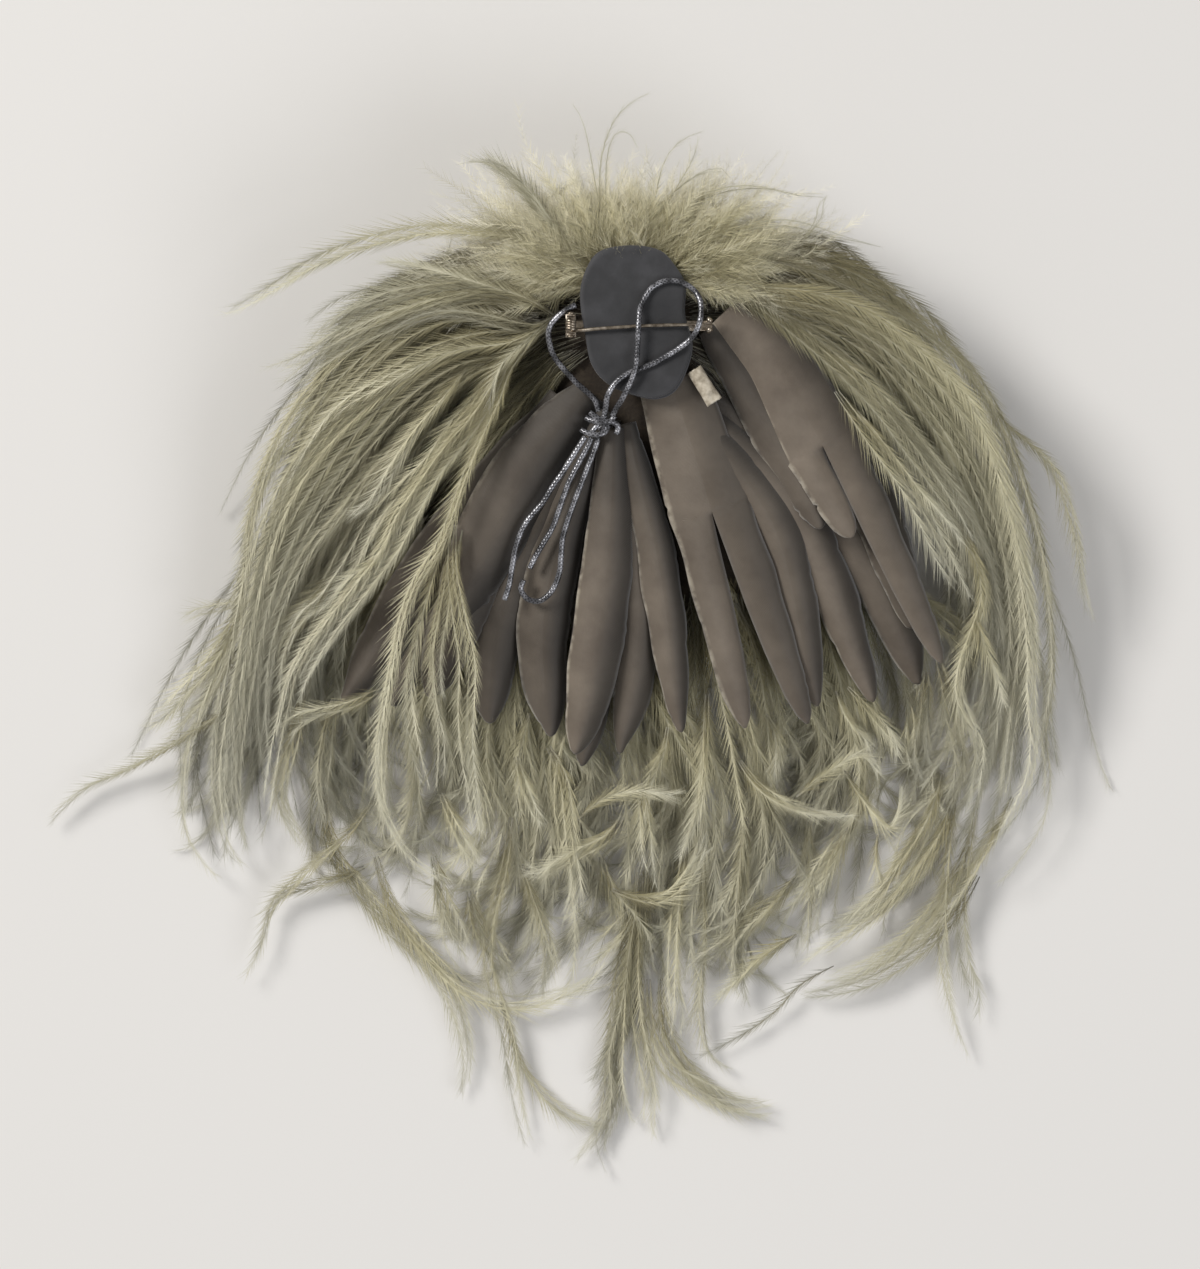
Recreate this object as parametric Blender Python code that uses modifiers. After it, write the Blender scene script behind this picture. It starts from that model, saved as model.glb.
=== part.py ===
"""Feather hairpiece, seen from its back: it lies on its plumes with the pin side up.

Units are metres, +Z is up and the origin is on the table below the centre of the back pad.
"""

import math

import bmesh
import bpy
from mathutils import Vector

# Driving dimensions
CLEARANCE = 0.0003          # gap between neighbouring pieces

HEAD_TOP = 0.033            # height of the bound plume head, seat of the leaves
HEAD_TOP_RADIUS = 0.0165
BODY_RADIUS = 0.060         # widest part of the soft body that the piece lies on
BODY_SHIFT = 0.024          # how far the soft body lies below the pad's centre

PLUME_SPAN = 0.100          # length that the long fronds' routes are shares of
LOCK_WIDTH = 0.075 * PLUME_SPAN
LOCK_THICKNESS = 0.030 * PLUME_SPAN
LOCK_DIP = 0.020 * PLUME_SPAN   # how far every other lock lies below its neighbours
LOCK_ROOT_SHARE = 0.55      # width of a lock at its root and tip, as shares of its widest
LOCK_TIP_SHARE = 0.18
LOCK_FULL_FROM = 0.31       # stretch of a lock that is widest, as shares of its length
LOCK_FULL_TO = 0.35
TAIL_WIDTH_SHARE = 0.7      # tails, strays and skirt fronds against the other locks
TAIL_THICKNESS_SHARE = 0.8
STRAY_WIDTH_SHARE = 0.5
STRAY_THICKNESS_SHARE = 0.7
SKIRT_WIDTH_SHARE = 1.4

SKIRT_COUNT = 11            # low fronds round the soft body, from side to side over the crown
SKIRT_START = -26.0         # degrees from +X
SKIRT_SIDE_REACH = 0.098    # from the soft body's middle to the tips at the sides
SKIRT_CROWN_REACH = 0.068
SKIRT_TIP_HEIGHT = 0.0023

SADDLE_SHARE = 0.80         # size of the seat under a plume's head, as a share of the head
SADDLE_BOTTOM = 0.6         # as a share of the head height
HEAD_ROUNDING = 0.7         # below 1 a bound head is flatter on top

CROWN_SPAN = 0.100          # length that the short crown locks are shares of
CROWN_LOCK_WIDTH = 0.0062

FAN_REACH = 0.100           # from the pad's centre to the lowest leaf tip
LEAF_THICKNESS = 0.0010
LEAF_DROP = 0.0165          # how far the leaf tips lie below their roots
LEAF_SPREAD = 0.0010        # how far neighbouring layers part at the tips
LEAF_LAYERS = 4

PAD_WIDTH = 0.0253
PAD_LENGTH = 0.0348
PAD_THICKNESS = 0.0020

PIN_LENGTH = 0.0314         # hinge axis to catch
PIN_BAR_WIDTH = 0.0024
PIN_BAR_THICKNESS = 0.0008
PIN_WIRE = 0.0009
HINGE_X = -0.0147
HINGE_Y = -0.0009
HINGE_RISE = 0.0014         # arm's centre above the pad's face
EAR_THICKNESS = 0.0006
EAR_RADIUS = 0.0012
BARREL_LENGTH = 0.0032
BARREL_RADIUS = 0.00115
RIVET_RADIUS = 0.00045
RIVET_PLAY = 0.00022
CATCH_GAP = 0.0017          # clear width of the catch's fork
CATCH_PRONG = 0.0009        # thickness of each prong, and its length along the bar
CATCH_LENGTH = 0.0014
WIRE_POINT = 0.0006         # how far the wire's point passes the catch
WELD_OVERLAP = 0.00005      # plates stand this much proud of the bar that they are fused to

STUB_LENGTH = 0.0088
STUB_WIDTH = 0.0039
STUB_HEIGHT = 0.0029
STUB_WALL = 0.00045
STUB_X = 0.0158
STUB_Y = -0.0146
STUB_TURN = -58.0           # degrees from +X, down and to the right

CORD_DIAMETER = 0.0013

# Worked out from the driving dimensions
LEAF_PITCH = LEAF_THICKNESS + CLEARANCE
LEAF_SEAT = HEAD_TOP + CLEARANCE
LEAF_STACK_TOP = LEAF_SEAT + LEAF_PITCH * LEAF_LAYERS - CLEARANCE
BAR_BOTTOM = LEAF_STACK_TOP + CLEARANCE
BAR_TOP = BAR_BOTTOM + PIN_BAR_THICKNESS
PAD_BOTTOM = BAR_TOP + CLEARANCE
PAD_TOP = PAD_BOTTOM + PAD_THICKNESS
HINGE_Z = PAD_TOP + HINGE_RISE
CATCH_X = HINGE_X + PIN_LENGTH

# Soft body, from the table up: height, radius between the seat's and the widest, shift
BODY_RINGS = [
    (0.00, 0.80, 1.00),
    (0.10, 0.96, 1.00),
    (0.28, 1.00, 1.00),
    (0.52, 0.84, 0.78),
    (0.74, 0.54, 0.42),
    (0.89, 0.20, 0.15),
    (1.00, 0.00, 0.00),
]

# Pad outline as shares of its half width and half length, clockwise from the top
PAD_OUTLINE = [
    (-0.05, 1.00), (0.45, 0.93), (0.73, 0.72), (0.88, 0.50), (0.87, 0.12), (1.00, -0.23),
    (0.95, -0.52), (0.72, -0.87), (0.36, -1.00), (-0.09, -0.94), (-0.51, -0.81),
    (-0.79, -0.56), (-0.90, -0.20), (-1.00, 0.34), (-0.88, 0.70), (-0.62, 0.93),
]

# Fronds of the left plume: x and y in plume spans, z in head heights, outermost first
LEFT_GUIDES = [
    [(-0.24, 0.08, 1.11), (-0.42, 0.14, 1.12), (-0.62, 0.10, 0.95), (-0.78, -0.02, 0.70),
     (-0.86, -0.16, 0.45)],
    [(-0.24, 0.06, 1.11), (-0.45, 0.06, 1.15), (-0.68, -0.08, 0.95), (-0.82, -0.32, 0.70),
     (-0.88, -0.58, 0.45), (-0.96, -0.86, 0.25), (-1.00, -1.10, 0.14)],
    [(-0.24, 0.02, 1.11), (-0.42, -0.02, 1.15), (-0.62, -0.20, 0.98), (-0.74, -0.44, 0.75),
     (-0.82, -0.70, 0.52), (-0.88, -0.98, 0.32), (-0.90, -1.22, 0.20)],
    [(-0.24, -0.02, 1.11), (-0.38, -0.10, 1.17), (-0.53, -0.30, 1.03), (-0.64, -0.55, 0.84),
     (-0.72, -0.82, 0.62), (-0.78, -1.05, 0.42), (-0.76, -1.28, 0.30)],
    [(-0.24, -0.05, 1.11), (-0.33, -0.16, 1.19), (-0.44, -0.40, 1.10), (-0.54, -0.66, 0.94),
     (-0.60, -0.90, 0.72), (-0.66, -1.10, 0.54), (-0.64, -1.30, 0.40)],
    [(-0.25, -0.07, 1.11), (-0.29, -0.20, 1.21), (-0.36, -0.42, 1.14), (-0.42, -0.66, 1.02),
     (-0.42, -0.88, 0.84), (-0.38, -1.08, 0.66), (-0.36, -1.25, 0.52)],
]
LEFT_BETWEEN_COUNT = 1

# Fronds of the right plume
RIGHT_GUIDES = [
    [(0.27, 0.15, 1.11), (0.42, 0.18, 1.12), (0.58, 0.13, 0.95), (0.74, 0.02, 0.72),
     (0.86, -0.12, 0.48)],
    [(0.27, 0.13, 1.11), (0.46, 0.12, 1.15), (0.70, -0.06, 0.95), (0.86, -0.32, 0.70),
     (0.94, -0.64, 0.45), (0.95, -0.95, 0.25), (0.84, -1.28, 0.16)],
    [(0.27, 0.12, 1.11), (0.44, 0.06, 1.16), (0.64, -0.12, 1.00), (0.78, -0.38, 0.80),
     (0.86, -0.68, 0.58), (0.86, -0.98, 0.40), (0.74, -1.25, 0.30)],
    [(0.27, 0.11, 1.11), (0.41, 0.01, 1.20), (0.56, -0.16, 1.12), (0.67, -0.40, 0.96),
     (0.74, -0.66, 0.78), (0.75, -0.92, 0.58), (0.64, -1.15, 0.45)],
]
RIGHT_BETWEEN_COUNT = 2
RIGHT_STRAY = [(0.29, 0.14, 1.11), (0.50, 0.14, 1.10), (0.78, -0.10, 0.85), (0.96, -0.28, 0.58),
               (1.03, -0.45, 0.40), (1.07, -0.69, 0.25)]

# Fronds of the front plume that hang below the leaves, left to right
FRINGE_GUIDES = [
    [(-0.48, -0.40, 0.42), (-0.70, -0.72, 0.30), (-0.80, -0.98, 0.14), (-0.78, -1.18, 0.10),
     (-0.70, -1.28, 0.10)],
    [(-0.40, -0.52, 0.44), (-0.54, -0.85, 0.32), (-0.58, -1.10, 0.22), (-0.61, -1.28, 0.13),
     (-0.52, -1.42, 0.10)],
    [(-0.27, -0.60, 0.46), (-0.34, -0.95, 0.34), (-0.30, -1.20, 0.25), (-0.38, -1.42, 0.16),
     (-0.45, -1.58, 0.10)],
    [(-0.10, -0.64, 0.46), (-0.12, -0.98, 0.33), (-0.06, -1.25, 0.26), (-0.12, -1.50, 0.18),
     (-0.22, -1.60, 0.11)],
    [(0.06, -0.64, 0.46), (0.06, -0.98, 0.33), (0.12, -1.25, 0.26), (0.04, -1.48, 0.18),
     (0.02, -1.64, 0.11)],
    [(0.22, -0.61, 0.46), (0.28, -0.95, 0.34), (0.34, -1.20, 0.26), (0.26, -1.42, 0.18),
     (0.12, -1.56, 0.11)],
    [(0.36, -0.55, 0.44), (0.50, -0.88, 0.33), (0.56, -1.12, 0.22), (0.50, -1.36, 0.14),
     (0.36, -1.50, 0.10)],
    [(0.46, -0.42, 0.42), (0.66, -0.76, 0.30), (0.72, -1.02, 0.14), (0.70, -1.26, 0.10),
     (0.58, -1.42, 0.10)],
]
FRINGE_BETWEEN_COUNT = 1

# Long tails and strays of the front plume
TAIL_GUIDES = [
    [(-0.26, -0.60, 0.40), (-0.36, -1.05, 0.30), (-0.44, -1.40, 0.17), (-0.38, -1.62, 0.09),
     (-0.40, -1.80, 0.07)],
    [(-0.12, -0.62, 0.40), (-0.18, -1.08, 0.30), (-0.25, -1.45, 0.17), (-0.26, -1.72, 0.09),
     (-0.26, -1.92, 0.07)],
    [(0.02, -0.62, 0.40), (0.04, -1.10, 0.30), (-0.03, -1.50, 0.17), (-0.12, -1.78, 0.09),
     (-0.08, -1.98, 0.07)],
    [(0.14, -0.62, 0.40), (0.18, -1.08, 0.30), (0.10, -1.45, 0.17), (0.14, -1.70, 0.09),
     (0.32, -1.82, 0.07)],
    [(-0.44, -0.44, 0.34), (-0.72, -0.66, 0.24), (-0.95, -0.84, 0.14), (-1.18, -0.98, 0.09),
     (-1.38, -1.16, 0.07)],
]

# Crown locks: foot and tip in crown spans, left to right
CROWN_LOCKS = [
    ((-0.13, 0.11), (-0.38, 0.20)), ((-0.12, 0.13), (-0.32, 0.25)), ((-0.10, 0.14), (-0.26, 0.29)),
    ((-0.08, 0.15), (-0.17, 0.33)), ((-0.05, 0.15), (-0.09, 0.36)), ((-0.02, 0.15), (-0.02, 0.36)),
    ((0.01, 0.15), (0.05, 0.37)), ((0.04, 0.15), (0.13, 0.35)), ((0.07, 0.14), (0.21, 0.33)),
    ((0.09, 0.15), (0.29, 0.33)), ((0.11, 0.15), (0.37, 0.34)), ((0.12, 0.15), (0.43, 0.30)),
]
CROWN_RISE = 0.0035
CROWN_TIP_DROP = 0.006

# Heads that the side plumes and the crown are bound to: centre, half sizes, in plume spans
LEFT_HEAD = (-0.27, 0.01, 0.085, 0.115)
RIGHT_HEAD = (0.27, 0.13, 0.080, 0.060)
CROWN_HEAD = (0.00, 0.115, 0.165, 0.065)

# Leaves left to right: layer, root, bend, tip, root width, width, in fan reaches
LEAVES = [
    ("leaf_01", 1, (-0.17, -0.17), (-0.43, -0.50), (-0.68, -0.87), 0.03, 0.13),
    ("leaf_02", 0, (-0.14, -0.20), (-0.38, -0.52), (-0.56, -0.88), 0.03, 0.12),
    ("leaf_03", 2, (-0.14, -0.18), (-0.36, -0.55), (-0.47, -0.86), 0.03, 0.13),
    ("leaf_04", 3, (-0.10, -0.16), (-0.27, -0.37), (-0.43, -0.70), 0.05, 0.17),
    ("leaf_05", 1, (-0.09, -0.19), (-0.29, -0.59), (-0.34, -0.92), 0.03, 0.14),
    ("leaf_06", 2, (-0.07, -0.20), (-0.20, -0.61), (-0.20, -0.95), 0.03, 0.12),
    ("leaf_07", 3, (-0.05, -0.24), (-0.07, -0.63), (-0.14, -0.99), 0.03, 0.125),
    ("leaf_08", 0, (-0.06, -0.22), (-0.09, -0.65), (-0.12, -1.02), 0.03, 0.11),
    ("leaf_09", 1, (-0.03, -0.24), (0.01, -0.65), (-0.03, -0.99), 0.03, 0.10),
    ("leaf_10", 2, (-0.02, -0.23), (0.05, -0.54), (0.11, -0.94), 0.03, 0.09),
    ("leaf_12", 2, (0.10, -0.17), (0.32, -0.47), (0.42, -0.88), 0.03, 0.11),
    ("leaf_13", 1, (0.12, -0.17), (0.39, -0.45), (0.55, -0.87), 0.03, 0.11),
    ("leaf_14", 0, (0.15, -0.15), (0.48, -0.42), (0.66, -0.83), 0.03, 0.13),
    ("leaf_15", 2, (0.17, -0.01), (0.30, -0.20), (0.43, -0.47), 0.05, 0.12),
    ("leaf_16", 1, (0.19, -0.05), (0.50, -0.33), (0.65, -0.70), 0.04, 0.12),
]

# Leaves split in two: layer, root, bend, split, the two tips, root width, width
SPLIT_LEAVES = [
    ("leaf_11", 3, (0.08, -0.13), (0.13, -0.28), (0.175, -0.43), (0.255, -0.93), (0.40, -0.92),
     0.15, 0.19),
    ("leaf_17", 3, (0.21, 0.03), (0.33, -0.10), (0.43, -0.28), (0.50, -0.49), (0.71, -0.78),
     0.09, 0.18),
]

# Width of a leaf along its length, as shares of its length and of its width
LEAF_PROFILE = [(0.00, 0.00), (0.20, 0.55), (0.42, 0.93), (0.62, 1.00), (0.82, 0.76),
                (0.94, 0.36), (1.00, 0.08)]

# Cord routes in millimetres, chosen by hand: they lie on the pad and the leaves
CORD_STRAND = [
    (-13.7, 3.7, 41.3), (-15.2, 3.0, 41.8), (-16.6, 2.0, 42.0), (-18.0, 0.8, 41.8),
    (-19.3, -0.8, 41.5), (-19.8, -2.8, 41.2), (-19.6, -4.9, 41.0), (-18.8, -7.4, 40.8),
    (-17.2, -9.8, 40.6), (-13.6, -13.8, 40.2), (-10.4, -16.6, 39.7), (-9.0, -18.3, 39.2),
]
CORD_LOOP = [
    (-4.2, -19.6, 40.0), (-3.1, -17.9, 41.7), (-2.1, -16.0, 42.6), (-0.7, -13.1, 43.4),
    (0.2, -9.9, 44.0), (0.5, -5.1, 44.2), (0.7, -1.8, 44.5), (0.9, 1.6, 43.9), (1.6, 4.2, 43.0),
    (3.4, 7.2, 42.6), (5.8, 8.8, 42.5), (8.1, 9.2, 42.5), (11.0, 8.7, 42.5), (13.5, 6.9, 42.7),
    (14.7, 4.8, 43.4), (15.0, 2.7, 44.2), (14.7, 0.0, 44.6), (13.9, -2.3, 44.1),
    (12.7, -4.0, 43.1), (10.1, -6.1, 42.6), (5.8, -8.7, 42.5), (1.8, -10.6, 42.4),
    (-1.8, -12.0, 42.4), (-4.6, -14.2, 42.4), (-6.3, -17.0, 41.8), (-6.7, -19.3, 40.2),
]
KNOT_WRAPS = [
    [(-11.3, -21.9, 37.9), (-9.6, -22.6, 38.6), (-7.3, -22.8, 38.9), (-5.2, -22.9, 38.5),
     (-3.9, -23.9, 37.9), (-4.3, -25.6, 37.6)],
    [(-12.4, -24.6, 37.6), (-10.8, -25.4, 38.2), (-8.7, -25.8, 38.4), (-7.0, -25.2, 38.1),
     (-6.2, -23.6, 37.8)],
    [(-10.4, -20.7, 38.6), (-8.6, -22.0, 39.0), (-7.0, -24.0, 38.8), (-7.6, -25.6, 38.0)],
    [(-6.9, -21.2, 38.9), (-8.0, -22.8, 38.0), (-9.4, -24.4, 37.9), (-10.4, -25.6, 37.6)],
    [(-4.7, -21.4, 38.6), (-5.8, -22.8, 38.2), (-8.4, -24.4, 37.6)],
]
CORD_TAIL_LEFT = [
    (-12.4, -27.6, 37.0), (-14.4, -30.8, 36.4), (-16.6, -34.2, 35.8), (-18.9, -37.5, 35.2),
    (-21.0, -40.9, 34.4), (-23.0, -43.2, 33.9), (-24.9, -45.6, 33.4), (-26.5, -48.7, 32.8),
    (-27.5, -52.0, 32.2), (-28.2, -55.8, 31.5), (-28.9, -60.0, 30.7), (-30.0, -63.4, 29.9),
]
CORD_TAIL_MIDDLE = [
    (-10.6, -27.9, 37.0), (-12.5, -31.4, 36.3), (-14.9, -36.0, 35.6), (-16.4, -39.8, 34.9),
    (-17.6, -43.4, 34.2), (-19.1, -47.2, 33.4), (-21.0, -50.4, 32.7), (-22.9, -53.6, 32.0),
    (-24.2, -56.2, 31.5),
]
CORD_TAIL_RIGHT = [
    (-8.8, -27.7, 37.0), (-10.3, -31.8, 36.4), (-12.3, -36.8, 35.6), (-14.3, -42.1, 34.7),
    (-15.6, -45.8, 34.0), (-16.6, -49.4, 33.3), (-17.0, -53.6, 32.5), (-17.4, -57.4, 31.8),
    (-19.0, -61.2, 31.0), (-21.7, -63.6, 30.3), (-24.6, -63.3, 30.3), (-26.2, -61.1, 30.7),
    (-25.6, -58.9, 31.2),
]

# Colours: red, green, blue, roughness, metallic
COLOURS = {
    "soft_suede": (0.045, 0.045, 0.050, 0.75, 0.0),
    "plated_wire": (0.45, 0.40, 0.34, 0.35, 1.0),
    "quill": (0.58, 0.52, 0.42, 0.45, 0.0),
    "leaf_feather": (0.12, 0.095, 0.075, 0.70, 0.0),
    "ostrich": (0.32, 0.31, 0.20, 0.80, 0.0),
    "marabou": (0.34, 0.33, 0.20, 0.85, 0.0),
    "elastic_cord": (0.16, 0.16, 0.17, 0.40, 0.0),
}


def clear_scene():
    for item in list(bpy.data.objects):
        bpy.data.objects.remove(item, do_unlink=True)


def add_collection(name, guide=False):
    collection = bpy.data.collections.new(name)
    bpy.context.scene.collection.children.link(collection)
    collection.hide_render = guide
    return collection


def add_material(node_name, finish):
    red, green, blue, roughness, metallic = COLOURS[finish]
    material = bpy.data.materials.new(node_name + "_" + finish)
    material.use_nodes = True
    shader = material.node_tree.nodes["Principled BSDF"]
    shader.inputs["Base Color"].default_value = (red, green, blue, 1.0)
    shader.inputs["Roughness"].default_value = roughness
    shader.inputs["Metallic"].default_value = metallic
    return material


def mesh_object(name, shape, collection):
    """Turn a bmesh into an object with its faces pointing out."""
    shape.normal_update()
    bmesh.ops.recalc_face_normals(shape, faces=shape.faces)
    mesh = bpy.data.meshes.new(name)
    shape.to_mesh(mesh)
    shape.free()
    item = bpy.data.objects.new(name, mesh)
    collection.objects.link(item)
    return item


def finish_object(item, finish):
    item.data.materials.clear()
    item.data.materials.append(add_material(item.name, finish))
    item.data.shade_smooth()
    item.data.set_sharp_from_angle(angle=math.radians(40.0))
    return item


def weld_caps(shape):
    """Join a curve's loose caps to its wall."""
    bmesh.ops.remove_doubles(shape, verts=shape.verts, dist=0.000002)


def keep_main_body(shape):
    """Delete the specks that a union can leave beside the main body."""
    left = set(shape.verts)
    bodies = []
    while left:
        body = set()
        waiting = [left.pop()]
        while waiting:
            vertex = waiting.pop()
            body.add(vertex)
            for edge in vertex.link_edges:
                other = edge.other_vert(vertex)
                if other in left:
                    left.remove(other)
                    waiting.append(other)
        bodies.append(body)
    bodies.sort(key=len)
    for body in bodies[:-1]:
        bmesh.ops.delete(shape, geom=list(body), context="VERTS")


def evaluated_copy(item, name, collection, clean):
    """Mesh object holding what the item's modifiers and curve make, without them."""
    bpy.context.view_layer.update()
    graph = bpy.context.evaluated_depsgraph_get()
    mesh = bpy.data.meshes.new_from_object(item.evaluated_get(graph))
    shape = bmesh.new()
    shape.from_mesh(mesh)
    clean(shape)
    shape.to_mesh(mesh)
    shape.free()
    copy = bpy.data.objects.new(name, mesh)
    copy.matrix_world = item.matrix_world
    collection.objects.link(copy)
    bpy.data.objects.remove(item, do_unlink=True)
    return copy


def fuse(name, base, extras, collection):
    """Join the extra solids to the base solid with exact unions."""
    group = bpy.data.collections.new(name + "_extras")
    bpy.context.scene.collection.children.link(group)
    for extra in extras:
        for owner in list(extra.users_collection):
            owner.objects.unlink(extra)
        group.objects.link(extra)
    union = base.modifiers.new("union", "BOOLEAN")
    union.operation = "UNION"
    union.solver = "EXACT"
    union.operand_type = "COLLECTION"
    union.collection = group
    fused = evaluated_copy(base, name, collection, keep_main_body)
    for extra in extras:
        bpy.data.objects.remove(extra, do_unlink=True)
    bpy.data.collections.remove(group)
    return fused


def smooth_point(points, place):
    """Point at a place from 0 to 1 on the smooth curve through the points."""
    spans = len(points) - 1
    index = min(int(place * spans), spans - 1)
    share = place * spans - index
    before = points[max(index - 1, 0)]
    start = points[index]
    end = points[index + 1]
    after = points[min(index + 2, spans)]
    square = share * share
    cube = square * share
    return (
        before * (-0.5 * cube + square - 0.5 * share)
        + start * (1.5 * cube - 2.5 * square + 1.0)
        + end * (-1.5 * cube + 2.0 * square + 0.5 * share)
        + after * (0.5 * cube - 0.5 * square)
    )


def smooth_path(points, count):
    return [smooth_point(points, step / (count - 1)) for step in range(count)]


def read_profile(profile, place):
    """Value between the rows of a table of place and value."""
    for (low, low_value), (high, high_value) in zip(profile, profile[1:]):
        if place <= high:
            share = (place - low) / (high - low)
            return low_value + (high_value - low_value) * share
    return profile[-1][1]


def ring_frame(path, index):
    """Sideways and upward directions of a route at one of its points."""
    ahead = path[min(index + 1, len(path) - 1)]
    behind = path[max(index - 1, 0)]
    along = (ahead - behind).normalized()
    side = along.cross(Vector((0.0, 0.0, 1.0))).normalized()
    return side, side.cross(along).normalized()


def loft(rings):
    """Closed solid through rings of equal length, with a flat cap at each end."""
    shape = bmesh.new()
    rows = [[shape.verts.new(point) for point in ring] for ring in rings]
    sides = len(rings[0])
    for lower, upper in zip(rows, rows[1:]):
        for index in range(sides):
            following = (index + 1) % sides
            shape.faces.new((lower[index], lower[following], upper[following], upper[index]))
    shape.faces.new(list(reversed(rows[0])))
    shape.faces.new(rows[-1])
    return shape


def lock_solid(name, route, width, thickness, sections, collection):
    """One flat tapered lock of fronds along a route."""
    sides = 6
    path = smooth_path(route, sections)
    rings = []
    for index, centre in enumerate(path):
        place = index / (sections - 1)
        rise = math.sin(math.pi / 2.0 * min(place / LOCK_FULL_FROM, 1.0))
        swell = LOCK_ROOT_SHARE + (1.0 - LOCK_ROOT_SHARE) * rise
        fall = max(place - LOCK_FULL_TO, 0.0) / (1.0 - LOCK_FULL_TO)
        taper = swell * (1.0 - (1.0 - LOCK_TIP_SHARE) * fall)
        side, up = ring_frame(path, index)
        ring = []
        for corner in range(sides):
            turn = 2.0 * math.pi * corner / sides
            across = side * (math.cos(turn) * width * taper / 2.0)
            above = up * (math.sin(turn) * thickness * taper / 2.0)
            ring.append(centre + across + above)
        rings.append(ring)
    return mesh_object(name, loft(rings), collection)


def scaled_route(points, span):
    return [Vector((x * span, y * span, z * HEAD_TOP)) for x, y, z in points]


def blended_routes(guides, between, span):
    """The guides' routes, with some routes between each pair of neighbours."""
    samples = 7
    sampled = [smooth_path(scaled_route(guide, span), samples) for guide in guides]
    routes = []
    for left, right in zip(sampled, sampled[1:]):
        for step in range(between + 1):
            share = step / (between + 1)
            route = [low.lerp(high, share) for low, high in zip(left, right)]
            for index, point in enumerate(route):
                point.z -= LOCK_DIP * (step % 2) * min(index / 2.0, 1.0)
            routes.append(route)
    routes.append(sampled[-1])
    return routes


def bound_head(name, head, top, bottom, collection):
    """Low rounded head that the feet of a plume are bound into."""
    x, y, half_width, half_length = (value * PLUME_SPAN for value in head)
    middle = (top + bottom) / 2.0
    shape = bmesh.new()
    bmesh.ops.create_uvsphere(shape, u_segments=14, v_segments=6, radius=1.0)
    for vertex in shape.verts:
        height = math.copysign(abs(vertex.co.z) ** HEAD_ROUNDING, vertex.co.z)
        height *= (top - bottom) / 2.0
        vertex.co = Vector((x + vertex.co.x * half_width, y + vertex.co.y * half_length,
                            middle + height))
    return mesh_object(name, shape, collection)


def body_point(height, swell, shift, turn):
    """Place on the soft body's surface at one ring of its table."""
    radius = HEAD_TOP_RADIUS + (BODY_RADIUS - HEAD_TOP_RADIUS) * swell
    return Vector((radius * math.cos(turn), radius * math.sin(turn) - BODY_SHIFT * shift,
                   HEAD_TOP * height))


def skirt_route(turn):
    """A low frond: down over the soft body's shoulder and out to its tip on the table."""
    route = [body_point(*ring, turn) for ring in reversed(BODY_RINGS[2:5])]
    side = abs(math.cos(turn)) ** 1.5
    reach = SKIRT_CROWN_REACH + (SKIRT_SIDE_REACH - SKIRT_CROWN_REACH) * side
    route.append(Vector((reach * math.cos(turn), reach * math.sin(turn) - BODY_SHIFT,
                         SKIRT_TIP_HEIGHT)))
    return route


def build_front_plume(collection):
    """Soft body that the piece lies on, with the fringe below and fronds all round."""
    sides = 20
    turns = [2.0 * math.pi * corner / sides for corner in range(sides)]
    rings = [[body_point(*ring, turn) for turn in turns] for ring in BODY_RINGS]
    body = mesh_object("front_body", loft(rings), collection)
    locks = []
    for route in blended_routes(FRINGE_GUIDES, FRINGE_BETWEEN_COUNT, PLUME_SPAN):
        locks.append(lock_solid("fringe", route, LOCK_WIDTH, LOCK_THICKNESS, 6, collection))
    for guide in TAIL_GUIDES:
        route = scaled_route(guide, PLUME_SPAN)
        locks.append(lock_solid("tail", route, LOCK_WIDTH * TAIL_WIDTH_SHARE,
                                LOCK_THICKNESS * TAIL_THICKNESS_SHARE, 6, collection))
    skirt_sweep = 180.0 - 2.0 * SKIRT_START
    for step in range(SKIRT_COUNT):
        turn = math.radians(SKIRT_START + skirt_sweep * step / (SKIRT_COUNT - 1))
        locks.append(lock_solid("skirt", skirt_route(turn), LOCK_WIDTH * SKIRT_WIDTH_SHARE,
                                LOCK_THICKNESS, 5, collection))
    for head in (LEFT_HEAD, RIGHT_HEAD):
        seat = tuple(head[:2]) + tuple(size * SADDLE_SHARE for size in head[2:])
        locks.append(bound_head("saddle", seat, HEAD_TOP, HEAD_TOP * SADDLE_BOTTOM, collection))
    return finish_object(fuse("front_plume", body, locks, collection), "ostrich")


def build_side_plume(name, head, guides, between, strays, collection):
    base = bound_head(name + "_head", head, BAR_BOTTOM, LEAF_SEAT, collection)
    locks = []
    for route in blended_routes(guides, between, PLUME_SPAN):
        locks.append(lock_solid("frond", route, LOCK_WIDTH, LOCK_THICKNESS, 7, collection))
    for stray in strays:
        route = scaled_route(stray, PLUME_SPAN)
        locks.append(lock_solid("stray", route, LOCK_WIDTH * STRAY_WIDTH_SHARE,
                                LOCK_THICKNESS * STRAY_THICKNESS_SHARE, 7, collection))
    return finish_object(fuse(name, base, locks, collection), "ostrich")


def build_crown_tuft(collection):
    base = bound_head("crown_head", CROWN_HEAD, BAR_TOP, LEAF_SEAT, collection)
    middle = (BAR_TOP + LEAF_SEAT) / 2.0
    locks = []
    for (foot_x, foot_y), (tip_x, tip_y) in CROWN_LOCKS:
        foot = Vector((foot_x * CROWN_SPAN, foot_y * CROWN_SPAN, middle))
        tip = Vector((tip_x * CROWN_SPAN, tip_y * CROWN_SPAN, middle - CROWN_TIP_DROP))
        bend = foot.lerp(tip, 0.5)
        bend.z = middle + CROWN_RISE
        locks.append(lock_solid("tuft", [foot, bend, tip], CROWN_LOCK_WIDTH, LOCK_THICKNESS, 5,
                                collection))
    return finish_object(fuse("crown_tuft", base, locks, collection), "marabou")


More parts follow.
